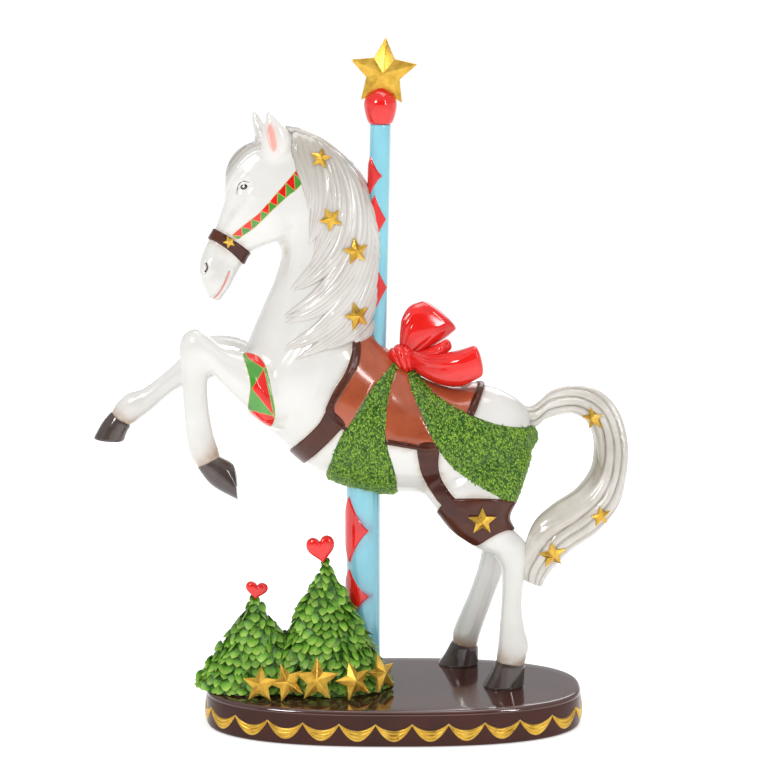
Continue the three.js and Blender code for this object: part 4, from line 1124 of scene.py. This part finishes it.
def heart_skin(width, height, thick):
    """A plump heart standing on its point, facing -Y."""
    w, h = width / 2, height
    t = np.linspace(0, 1, 17)[:, None]

    def curve(a, b, c, d):
        a, b, c, d = map(np.array, (a, b, c, d))
        return ((1 - t) ** 3 * a + 3 * (1 - t) ** 2 * t * b + 3 * (1 - t) * t**2 * c + t**3 * d)[:-1]

    right = np.vstack([curve((0, 0), (0.35 * w, 0.3 * h), (w, 0.42 * h), (w, 0.7 * h)),
                       curve((w, 0.7 * h), (w, 1.08 * h), (0.12 * w, 1.1 * h), (0, 0.78 * h))])
    outline = np.vstack([right, (right * [-1, 1])[::-1]])
    outline = np.roll(outline, 1, axis=0)
    middle = np.array([0, 0.55 * h])
    rings = []
    for k in range(25):
        angle = math.pi * (k + 0.5) / 25
        share = math.sin(angle) ** 0.55
        flat = middle + (outline - middle) * share
        rings.append(np.c_[flat[:, 0], np.full(len(flat), 0.5 * thick * math.cos(angle)), flat[:, 1]])
    return tube(np.array(rings)).smooth(4)


def eye_skin(bvh):
    """A domed painted eye: white rim, dark ring, brown iris, pupil and a white glint."""
    point, normal = seat(bvh, *EYE_AT, 3.0)
    side, up, out = basis(normal)
    radius = 5.7
    r = np.linspace(1, 0.04, 14)
    angle = around(40)
    v = [point + radius * s * (np.outer(np.cos(angle), side) + 0.94 * np.outer(np.sin(angle), up))
         + out * (1.6 * math.sqrt(max(0, 1 - s * s)) - 0.6) for s in r]
    skin = tube(np.array([v[0] - 2.5 * out] + v))
    flat = (skin.v[skin.t].mean(1) - point) @ np.c_[side, up] / radius
    reach = np.hypot(*flat.T)
    glint = np.hypot(flat[:, 0] + 0.05, flat[:, 1] - 0.08) < 0.27
    faces = np.where(reach > 0.95, 0, np.where(reach > 0.58, 1, np.where(reach > 0.40, 2, 1)))
    return skin, np.where(glint, 3, faces)


# ---------------------------------------------------------------- foliage
def scattered(skin, count):
    """Random places on a skin, with their outward directions."""
    a, b, c = (skin.v[skin.t[:, k]] for k in range(3))
    n = skin.facings()
    area = np.linalg.norm(n, axis=1)
    pick = rng.choice(len(skin.t), count, p=area / area.sum())
    u, w = rng.random((2, count, 1))
    flip = u + w > 1
    u, w = np.where(flip, 1 - u, u), np.where(flip, 1 - w, w)
    p = a[pick] + u * (b[pick] - a[pick]) + w * (c[pick] - a[pick])
    return p, n[pick] / area[pick][:, None]


def leaves(points, normals, directions, length, width, curl, rows, thick, cup):
    """Many small pointed leaves: each grows from its point along its direction and curls outward."""
    count = len(points)
    t = np.linspace(0, 1, rows)[None, :, None]
    side = unit(np.cross(normals, directions))
    length, width, curl = (np.asarray(x, float).reshape(-1, 1, 1) * np.ones((count, 1, 1))
                           for x in (length, width, curl))
    curl = np.where(np.abs(curl) < 0.02, 0.02, curl)
    spine = (points[:, None] + directions[:, None] * length * np.sin(curl * t) / curl
             + normals[:, None] * length * (1 - np.cos(curl * t)) / curl)
    half = 0.5 * width * (np.sin(np.pi * (0.20 + 0.78 * t)) ** 0.75)
    lift = cup * half
    left = spine - side[:, None] * half + normals[:, None] * lift
    right = spine + side[:, None] * half + normals[:, None] * lift
    corners = [left, spine, right]
    if thick > 0:
        corners.append(spine - normals[:, None] * thick)
    v = np.stack(corners, axis=2)
    ring = len(corners)
    per = rows * ring
    caps = [[0, 1, 2], [per - ring, per - ring + 2, per - ring + 1]]
    if thick > 0:
        caps += [[0, 2, 3], [per - ring, per - 1, per - 2]]
    t_one = np.vstack([sheet_faces(rows, ring, True), caps])
    faces = (t_one[None] + per * np.arange(count)[:, None, None]).reshape(-1, 3)
    # tip runs from a leaf's root to its tip; the paint darkens roots as painted shade and lightens tips as a
    # painted highlight.
    tip = np.repeat(np.broadcast_to(t, (count, rows, 1)), ring, axis=2).ravel()
    shade = np.repeat(rng.random(count), per)
    return Skin(v.reshape(-1, 3), faces, tip=tip, shade=shade)


LEAF_SPACING = 2.5


def garland_skin(body, name, last_x, drape):
    """A thick mat of curled leaves on both flanks: a lumpy bed, and thousands of leaves rooted in it."""
    skin = Skin(body.v.copy(), body.t)
    skin.f["in"] = np.minimum(outlined(name, seen_at(skin.v)), last_x - skin.v[:, 0])
    skin.cut("in", 0)
    normals = skin.normals()
    # No leaves grow between the legs.
    legs = (skin.v[:, 2] < 318) & (skin.v[:, 0] > 40) & (skin.v[:, 1] > 24)
    inner = (skin.v[:, 2] < 300) | legs
    triangles = skin.t[(skin.f["in"][skin.t].mean(1) > 0) & ~inner[skin.t].any(1)]
    used, t = np.unique(triangles, return_inverse=True)
    t = t.reshape(-1, 3)
    v, n, d = skin.v[used], normals[used], skin.f["in"][used]
    lump = np.sin(v[:, 0] * 0.42 + 1.3 * np.sin(v[:, 2] * 0.31)) * np.sin(v[:, 2] * 0.39 + v[:, 1] * 0.2)
    top = v + n * (0.6 + 3.6 * np.sqrt(ease(d / 9)) + 0.5 * lump)[:, None]
    low = v - n * 0.8
    edges = np.vstack([t[:, [0, 1]], t[:, [1, 2]], t[:, [2, 0]]])
    keys = edges[:, 0] * len(v) + edges[:, 1]
    rim = edges[~np.isin(keys, edges[:, 1] * len(v) + edges[:, 0])]
    m = len(v)
    a, b = rim.T
    walls = np.vstack([np.c_[b, a, a + m], np.c_[b, a + m, b + m]])
    # The bed under the leaves is painted deep green, as painted shade between them.
    bed = Skin(np.vstack([top, low]), np.vstack([t, t[:, ::-1] + m, walls]),
               tip=np.full(2 * m, 0.08), shade=np.full(2 * m, 0.6))
    surface = Skin(top, t)
    area = 0.5 * np.linalg.norm(surface.facings(), axis=1).sum()
    count = int(area / LEAF_SPACING**2)
    p, pn = scattered(surface, count)
    swirl = unit(np.cross(np.cross(pn, drape + 0.55 * rng.normal(size=(count, 3))), pn))
    way = unit(swirl + pn * rng.uniform(0.5, 1.1, (count, 1)))
    normal = unit(pn - way * (pn * way).sum(1)[:, None])
    mat = leaves(p - pn * 0.5, normal, way, rng.uniform(4.4, 6.6, count), rng.uniform(1.5, 2.2, count),
                 -rng.uniform(0.8, 1.9, count), rows=4, thick=0, cup=-0.7)
    return joined([bed, mat])


def upright_rings(x, y, radius_x, radius_y, heights, sides):
    """Level rings one above another; x and the radii may change from ring to ring."""
    c, q = np.cos(around(sides)), np.sin(around(sides))
    return np.stack([np.reshape(x, (-1, 1)) + np.outer(radius_x, c), y + np.outer(radius_y, q),
                     np.repeat(np.reshape(heights, (-1, 1)), sides, axis=1)], axis=2)


ROW_PITCH, LEAF_LONG, LEAF_WIDE = 9.6, 17.5, 15.5
TAPER = 0.96


def fir_skin(x, y, foot, apex, reach_x, reach_y):
    """A fir as cast: a cone of overlapping pointed leaves that hang outward in rows."""
    z = np.linspace(0, 1, 60)
    share = 0.90 * (1 - z) ** TAPER
    bark = tube(upright_rings(x, y, reach_x * share, reach_y * share, foot + (apex - 4 - foot) * z, 96))
    # The core under the leaves is painted deep green, as painted shade between them.
    bark.f = {"tip": np.zeros(len(bark.v)), "shade": np.full(len(bark.v), 0.3)}
    parts = [bark]
    rows = int((apex - foot) / ROW_PITCH)
    for k in range(rows):
        level = (k + 0.25) / rows
        share = 0.965 * (1 - level) ** TAPER
        girth = 2 * np.pi * math.sqrt(0.5 * (reach_x**2 + reach_y**2)) * share
        count = max(5, int(girth / (LEAF_WIDE * 0.70)))
        a = 2 * np.pi * (np.arange(count) + 0.5 * (k % 2) + rng.uniform(-0.18, 0.18, count)) / count
        zero = np.zeros(count)
        out = unit(np.c_[np.cos(a) / reach_x, np.sin(a) / reach_y, zero])
        p = np.c_[x + (reach_x * share - 5.5) * np.cos(a), y + (reach_y * share - 5.5) * np.sin(a),
                  zero + (foot + (apex - foot) * level + 9.0)]
        p[:, 2] += rng.uniform(-1.5, 1.5, count)
        slope = 0.62 + 0.35 * rng.random((count, 1))
        lean = 0.30 * rng.normal(size=(count, 1)) * np.c_[-np.sin(a), np.cos(a), zero]
        way = unit(out * slope - np.array([0, 0, 1.0]) + lean)
        normal = unit(out - way * (out * way).sum(1)[:, None] + 0.26 * rng.normal(size=(count, 3)))
        normal = unit(normal - way * (normal * way).sum(1)[:, None])
        size = rng.uniform(0.82, 1.15, count) * (0.66 + 0.34 * min(1, share * 2.6))
        long = LEAF_LONG * size if k else np.minimum(LEAF_LONG * size, 12.0)
        parts.append(leaves(p, normal, way, long, LEAF_WIDE * size, rng.uniform(-0.5, 0.35, count), rows=7,
                            thick=1.8, cup=-0.24))
    skin = joined(parts)
    skin.v[:, 2] = np.maximum(skin.v[:, 2], foot + 0.2)
    return skin


# ---------------------------------------------------------------- base, poles, cap, bow
PROUD = 2.6                                 # how far the scallops stand out
EDGE_ROUND = 6.0
# Below the top's paint the wall has a darker copy of it, as painted shade.
TOP_PAINT = 5.5                             # how far the top's paint runs down the rounded edge
SCALLOPS = 26


def base_outline(count, high):
    """Points evenly spaced round the slab's oval, and their directions out."""
    c, q = np.cos(around(960)), np.sin(around(960))
    p = np.c_[np.sign(c) * np.abs(c) ** 0.8, np.sign(q) * np.abs(q) ** 0.8]
    p = np.c_[(high[0] - PROUD) * p[:, 0], (high[1] - PROUD) * p[:, 1]]
    p = evenly(np.vstack([p, p[:1]]), count + 1)[:-1]
    run = np.roll(p, -1, axis=0) - np.roll(p, 1, axis=0)
    return p, unit(np.c_[run[:, 1], -run[:, 0]])


def base_skin(high):
    """The oval slab with softly rounded edges."""
    p, out = base_outline(360, high)
    rings = [(6, 0), (3.2, 0.3), (1.2, 1.4), (0.2, 3.6), (0, 6)] + [(0, z) for z in (14, 22, 30, 38)]
    for degrees in range(0, 91, 15):
        c, s = turned(degrees)
        rings.append((EDGE_ROUND * (1 - c), high[2] - EDGE_ROUND + EDGE_ROUND * s))
    solid = [np.c_[p - out * inset, np.full(len(p), z)] for inset, z in rings + [(20, high[2])]]
    solid += [np.c_[p * (1 - (inset - 10) / 125), np.full(len(p), high[2])] for inset in (60, 100)]
    return tube(np.array(solid), (np.zeros(3), np.array([0, 0, high[2]])))


def scallop_skin(high, steps=24):
    """Gold crescents hanging round the rim, each with three ridges."""
    p, out = base_outline(SCALLOPS * steps, high)
    parts = []
    for n in range(SCALLOPS):
        rows = []
        for k in range(steps + 1):
            at = (n * steps + k) % (SCALLOPS * steps)
            swell = 1 - (2 * k / steps - 1) ** 2
            top = 33.5 - 9.5 * swell
            deep = 2.8 + 13.3 * swell
            row = []
            for u in np.linspace(0, 1, 19):
                ridge = abs(math.sin(3 * math.pi * u)) ** 0.8
                dome = math.sqrt(max(0, 1 - (2 * u - 1) ** 2))
                lift = PROUD * (0.35 + 0.65 * math.sqrt(swell)) * (0.45 * dome + 0.55 * ridge * dome**0.5)
                row.append([*(p[at] + out[at] * (lift - 0.25)), top - deep * u])
            row += [[*(p[at] - out[at] * 1.5), top - deep * u] for u in (0.8, 0.2)]
            rows.append(row)
        parts.append(tube(np.array(rows, float)))
    return joined(parts)


LOWER_LOZENGES = [[266, -54, 48], [172, -54, 38], [92, -60, 38]]
UPPER_LOZENGES = [[756, -55, 26], [697, -25, 34], [604, -8, 30]]


RAISED = 2.1                                # how far a lozenge stands out


def pole_skin(foot, top, radius, lozenges):
    """A round pole with raised lozenges; paint tells the lozenges' faces from the rest."""
    heights = np.linspace(foot[1], top[1], int((top[1] - foot[1]) / 2.2))

    def axis(z):
        return np.interp(z, [foot[1], top[1]], [foot[0], top[0]])

    skin = tube(upright_rings(axis(heights), MIDDLE, np.full(len(heights), radius),
                              np.full(len(heights), radius), heights, 96))
    u = np.c_[skin.v[:, 0] - axis(skin.v[:, 2]), skin.v[:, 1] - MIDDLE]
    best = np.full(len(skin.v), -30.0)
    for height, turn, half in lozenges:
        c, s = turned(turn)
        side, facing = u @ np.array([c, s]), u @ np.array([s, -c])
        wide = 0.97 * radius
        d = (1 - np.abs(side) / wide - np.abs(skin.v[:, 2] - height) / half) / math.hypot(1 / wide, 1 / half)
        best = np.maximum(best, np.where(facing > -0.5, d, -30.0))
    skin.f["lozenge"] = best
    for level in (0.0, 0.7, 1.5):
        skin.cut("lozenge", level)
    out = np.c_[skin.v[:, 0] - axis(skin.v[:, 2]), skin.v[:, 1] - MIDDLE, np.zeros(len(skin.v))] / radius
    d = skin.f["lozenge"]
    skin.v += out * (RAISED * ease(d / 0.8))[:, None]
    skin.f = {"halo": np.exp(-np.abs(d) / 3.0)}
    return skin, (d[skin.t].mean(1) > 0).astype(int)


def lathe(points, x):
    """A turned form: radius and height along its profile."""
    radius, height = through(points, 6 * len(points)).T
    return tube(upright_rings(x, MIDDLE, radius, radius, height, 72))


BOW = {
    "knot": [[-10, 511, 3, 497, 24, 8], [-3, 521, 9, 491, 24, 15], [7, 525, 16, 488, 24, 18],
             [18, 522, 22, 488, 25, 17], [28, 515, 29, 493, 27, 10]],
    "far_loop": [[8, 520, 26, 506, 36, 8], [9, 540, 38, 513, 40, 12], [12, 560, 55, 521, 45, 16],
                 [22, 575, 72, 530, 50, 17], [37, 581, 85, 540, 53, 14]],
    "near_loop": [[24, 517, 28, 490, 26, 9], [44, 512, 40, 482, 20, 15], [66, 515, 62, 473, 13, 20],
                  [88, 521, 90, 471, 6, 20], [107, 528, 118, 484, 2, 14]],
    "inner_fold": [[22, 512, 30, 500, 36, 8], [44, 518, 50, 500, 32, 12], [60, 526, 66, 508, 28, 13],
                   [68, 531, 76, 516, 26, 7]]}


END_CAP = ((0.985, 1.6), (0.94, 3.2), (0.84, 4.9), (0.64, 6.4), (0.36, 7.3), (0.12, 7.6))


def bow_skins():
    """Knot and puffed loops; gathers run from the knot into each loop and die away."""
    parts = []
    t = np.linspace(0, 1, 72)[:, None]
    angle = around(104)[None, :]
    for name, folds, depth, turn in (("knot", 3, 0.17, 0.2), ("far_loop", 11, 0.26, 0.8),
                                     ("near_loop", 10, 0.22, 0.35), ("inner_fold", 7, 0.14, 0.2)):
        if name == "knot":
            wave = np.abs(np.sin(np.pi * (folds * t + 0.12 * np.sin(angle + 1)))) ** 0.6
            factor = 1.05 - depth * (1 - wave) * np.sin(np.pi * t) ** 0.3
        else:
            wander = angle + turn + 0.3 * np.sin(2 * angle + 1.5 * t) + 0.15 * t
            wave = np.abs(np.sin(0.5 * folds * wander)) ** 0.8
            broad = np.cos(2.0 * angle + 1.2 + 1.5 * t)
            factor = 1.02 - depth * (1 - wave) * (1 - t) ** 1.7 + 0.05 * broad * t
        body = swelled(profile_rings(BOW[name], 72, 104, square=0.80), factor[:, :, None])
        end = body[-1].mean(0)
        out = end - body[-8].mean(0)
        out /= np.linalg.norm(out)
        caps = [end + (body[-1] - end) * share + out * reach for share, reach in END_CAP]
        parts.append(tube(np.concatenate([body, np.array(caps)])))
    return parts


# ---------------------------------------------------------------- the figure
horse, plain, horse_faces = patterned_horse()
body_paints = [PAINT[k] for k in ("white", "brown", "dark", "red", "green", "line", "pink", "ink")]
finished("horse_body", horse, body_paints,
         stands_for=("horse", "foreleg_near", "foreleg_far", "tail"), faces=horse_faces)
horse_tree = tree_of(horse)

near_count, extra, far_count = (19, 12, 16) if FINE else (16, 4, 10)
hair = mane(horse_tree, -1, near_count, extra) + mane(horse_tree, 1, far_count, 0)
crest = [horse_tree.find_nearest(Vector((x, MIDDLE, z)))[:2] for x, z in through(CREST, 90)]
crest = softened(np.array([(*hit, *normal) for hit, normal in crest]), 6)
hair.append(lock(horse_tree, crest, 36, 5.0, 1.4, rings=80, root=0.75, strands=4, sweep=0.7))
hair_skin = joined(hair)
finished("mane", hair_skin, PAINT["hair"], stands_for=("horse",))
tail = tail_skin()
finished("tail_hair", tail, PAINT["tail"], stands_for=("tail",))

for name, stations in HOOVES.items():
    t = np.linspace(0, 1, 40)[:, None, None]
    growth = 0.97 + 0.05 * t**2 - 0.04 * ease((t - 0.93) / 0.07) - 0.03 * np.exp(-(t / 0.06) ** 2)
    hoof = tube(swelled(profile_rings(stations, 40, 56), growth))
    owner = {"near_fore": "foreleg_near", "far_fore": "foreleg_far"}.get(name, "horse")
    finished("hoof_" + name, hoof, PAINT["hoof"], stands_for=(owner,), shade=50)

figure_tree = tree_of(merged([horse, hair_skin, tail]))
for side, suffix in ((-1, "near"), (1, "far")):
    eye, eye_faces = eye_skin(horse_tree)
    if side > 0:
        eye.v[:, 1] = 2 * HEAD_MIDDLE - eye.v[:, 1]
        eye.t = eye.t[:, ::-1]
    eye_paints = [PAINT[k] for k in ("eye_white", "ink", "iris", "glint")]
    finished("eye_" + suffix, eye, eye_paints, stands_for=("horse",), faces=eye_faces)

HORSE_STARS = {
    "star_mane_1": [-99, 778, 15, -12], "star_mane_2": [-85, 696, 17, 30], "star_mane_3": [-52, 652, 19, 8],
    "star_mane_4": [-51, 563, 20, 14], "star_bridle": [-223, 665, 9, 20], "star_thigh": [123, 275, 20, 0],
    "star_tail_1": [276, 421, 17, 10], "star_tail_2": [287, 282, 16, 12], "star_tail_3": [221, 227, 20, 8]}
for name, (x, z, radius, turn) in HORSE_STARS.items():
    point, normal = seat(figure_tree, x, z, 0.55 * radius)
    star = placed(star_skin(radius, 0.42 * radius, 0.17 * radius), point + 0.4 * normal, basis(normal, turn))
    finished("gold_" + name, star, PAINT["gold"], stands_for=(name,), shade=12)

for end, last_x, drape in (("rear", 212, [0.25, 0, -1.0]), ("front", 30, [-0.1, 0, -1.0])):
    garland = garland_skin(plain, end + "_garland", last_x, np.array(drape))
    finished(end + "_garland", garland, PAINT["leaf"], stands_for=("garland_" + end,))

# ---------------------------------------------------------------- bow, poles, finial
finished("ribbon_bow", joined(bow_skins()), PAINT["red"], stands_for=("bow",))
POLES = {
    "lower": ((-42, box_mm("pole_lower")[0][2]), (-42, 345), 23.6, LOWER_LOZENGES),
    "upper": ((-25, 480), (-18, box_mm("pole_upper")[1][2]), 14, UPPER_LOZENGES)}
for name, shape in POLES.items():
    pole, pole_faces = pole_skin(*shape)
    finished(name + "_pole", pole, [PAINT["pole"], PAINT["red"]],
             stands_for=("pole_" + name,), faces=pole_faces)
cap = lathe([[0.5, 0], [13, 0.3], [15.5, 1.5], [17.5, 5], [19.8, 12], [21.8, 22], [22, 29], [19.6, 36],
             [14, 43], [8, 48.5], [3, 51.5], [0.5, 52]], x=-18)
cap.v[:, 2] += box_mm("pole_cap")[0][2]
finished("cap", cap, PAINT["red"], stands_for=("pole_cap",))
top_star = placed(star_skin(47, 13, 2.5, 0.5, True), (-14, MIDDLE - 4, 893), basis((0, -1, 0), -4))
finished("finial_star", top_star, PAINT["gold"], stands_for=("star_top",), shade=12)

# ---------------------------------------------------------------- base, trees, hearts, stars
high = box_mm("base")[1]
slab = base_skin(high)
# The wall gets the darker copy of the chocolate paint, as painted shade.
finished("oval_base", slab, [PAINT["wall"], PAINT["chocolate"]], stands_for=("base",),
         faces=(slab.v[slab.t].mean(1)[:, 2] > high[2] - TOP_PAINT).astype(int), shade=60)
finished("rim_scallops", scallop_skin(high), PAINT["gold"], stands_for=("base",))
TREE_Y = -8
for name, x, reach_x, reach_y in (("tree_left", -192, 88, 56), ("tree_right", -93, 97, 60)):
    low, high = box_mm(name)
    fir = fir_skin(x, TREE_Y, low[2], high[2], reach_x, reach_y)
    finished("fir_" + name[5:], fir, PAINT["fir"], stands_for=(name,), shade=28)
for name, x, foot, width, height, thick, lean in (("heart_left", -191, 174, 31, 25, 13, 8),
                                                  ("heart_right", -96, 225, 39, 39, 15, -10)):
    heart = heart_skin(width, height, thick)
    c, s = turned(lean)
    v = heart.v
    heart.v = np.c_[c * v[:, 0] + s * v[:, 2] + x, v[:, 1] + TREE_Y, -s * v[:, 0] + c * v[:, 2] + foot]
    finished("glossy_" + name, heart, PAINT["red"], stands_for=(name,))
STAR_FLOOR = 51.05
# Where each star stands, its radius, how far it stands up, its turn, and the way it faces.
BASE_STARS = {
    "star_base_1": [-181, -71, 26, 0, 0, -8], "star_base_2": [-145, -70, 27, 2, 20, 0],
    "star_base_3": [-104, -73, 31, 3, 0, 0], "star_base_4": [-55, -66, 28, 2, 10, 25],
    "star_base_5": [-18, -42, 28, 4.5, 0, 50]}
for name, (x, y, radius, lifted, turn, facing) in BASE_STARS.items():
    c, s = turned(facing)
    normal = np.array([s, -c, 0.35])
    point = np.array([x, y, STAR_FLOOR + 0.8 * radius + lifted])
    star = placed(star_skin(radius, 0.42 * radius, 0.14 * radius), point, basis(normal, turn))
    star.v[:, 2] = np.maximum(star.v[:, 2], STAR_FLOOR)
    finished("gold_" + name, star, PAINT["gold"], stands_for=(name,), shade=12)

# ---------------------------------------------------------------- stage
bpy.ops.mesh.primitive_plane_add(size=400, location=(0, 0, -0.0005))
floor = bpy.context.object
floor.name = "floor"
floor_paint, tree, surface = shader("floor_paper", (0.93, 0.93, 0.93), 0.8, specular=0.1)
surface.inputs["Emission Color"].default_value = (1.0, 1.0, 1.0, 1)
surface.inputs["Emission Strength"].default_value = 0.48
floor.data.materials.append(floor_paint)

world = bpy.data.worlds.new("studio")
bpy.context.scene.world = world
world.use_nodes = True
sky = world.node_tree
height = height_in(sky, node(sky, "ShaderNodeTexCoord").outputs["Generated"])
glow = ramp(sky, height, [(0.0, (1.0, 1.0, 1.0)), (0.10, (0.85, 0.85, 0.86)), (0.3, (0.47, 0.47, 0.48)),
                          (1.0, (0.70, 0.70, 0.70))])
sky.links.new(glow, sky.nodes["Background"].inputs["Color"])
sky.nodes["Background"].inputs["Strength"].default_value = 0.95


def softbox(name, place, aim, size, power):
    """A rectangular studio light, pointed at a place."""
    light = bpy.data.lights.new(name, "AREA")
    light.shape = "RECTANGLE"
    light.size, light.size_y = size
    light.energy = power
    lamp = bpy.data.objects.new(name, light)
    lamp.location = place
    lamp.rotation_euler = (Vector(aim) - Vector(place)).to_track_quat("-Z", "Y").to_euler()
    bpy.context.scene.collection.objects.link(lamp)


softbox("key", (-1.5, -2.1, 2.0), (-0.05, 0, 0.45), (0.6, 0.8), 34)
softbox("fill", (1.6, -2.1, 1.6), (0, 0, 0.4), (0.22, 1.5), 19)
softbox("top", (0.1, 0.2, 2.4), (0, 0, 0.4), (1.4, 1.0), 14)
softbox("rim", (0.6, 1.9, 1.6), (0, 0, 0.5), (1.0, 1.0), 8)

# A black card opposite the horse's near side deepens the paint's reflections; no camera sees it.
flag = bpy.data.objects.new("flag", bpy.data.meshes.new("flag"))
corners = [(-4.5, -4.2, 0.7), (4.5, -4.2, 0.7), (4.5, -4.2, 3.8), (-4.5, -4.2, 3.8)]
flag.data.from_pydata(corners, [], [(0, 1, 2, 3)])
card, _, _ = shader("flag_felt", (0.03, 0.03, 0.03), 0.9, specular=0.0)
flag.data.materials.append(card)
flag.visible_camera = False
bpy.context.scene.collection.objects.link(flag)

camera = bpy.data.objects.new("camera", bpy.data.cameras.new("camera"))
camera.data.lens = 104.6
camera.data.clip_end = 600
camera.location = (-0.0098, -3.0, 1.05)
camera.rotation_euler = (math.radians(79.08), 0, 0)
bpy.context.scene.collection.objects.link(camera)
bpy.context.scene.camera = camera
bpy.context.scene.view_settings.view_transform = "Standard"
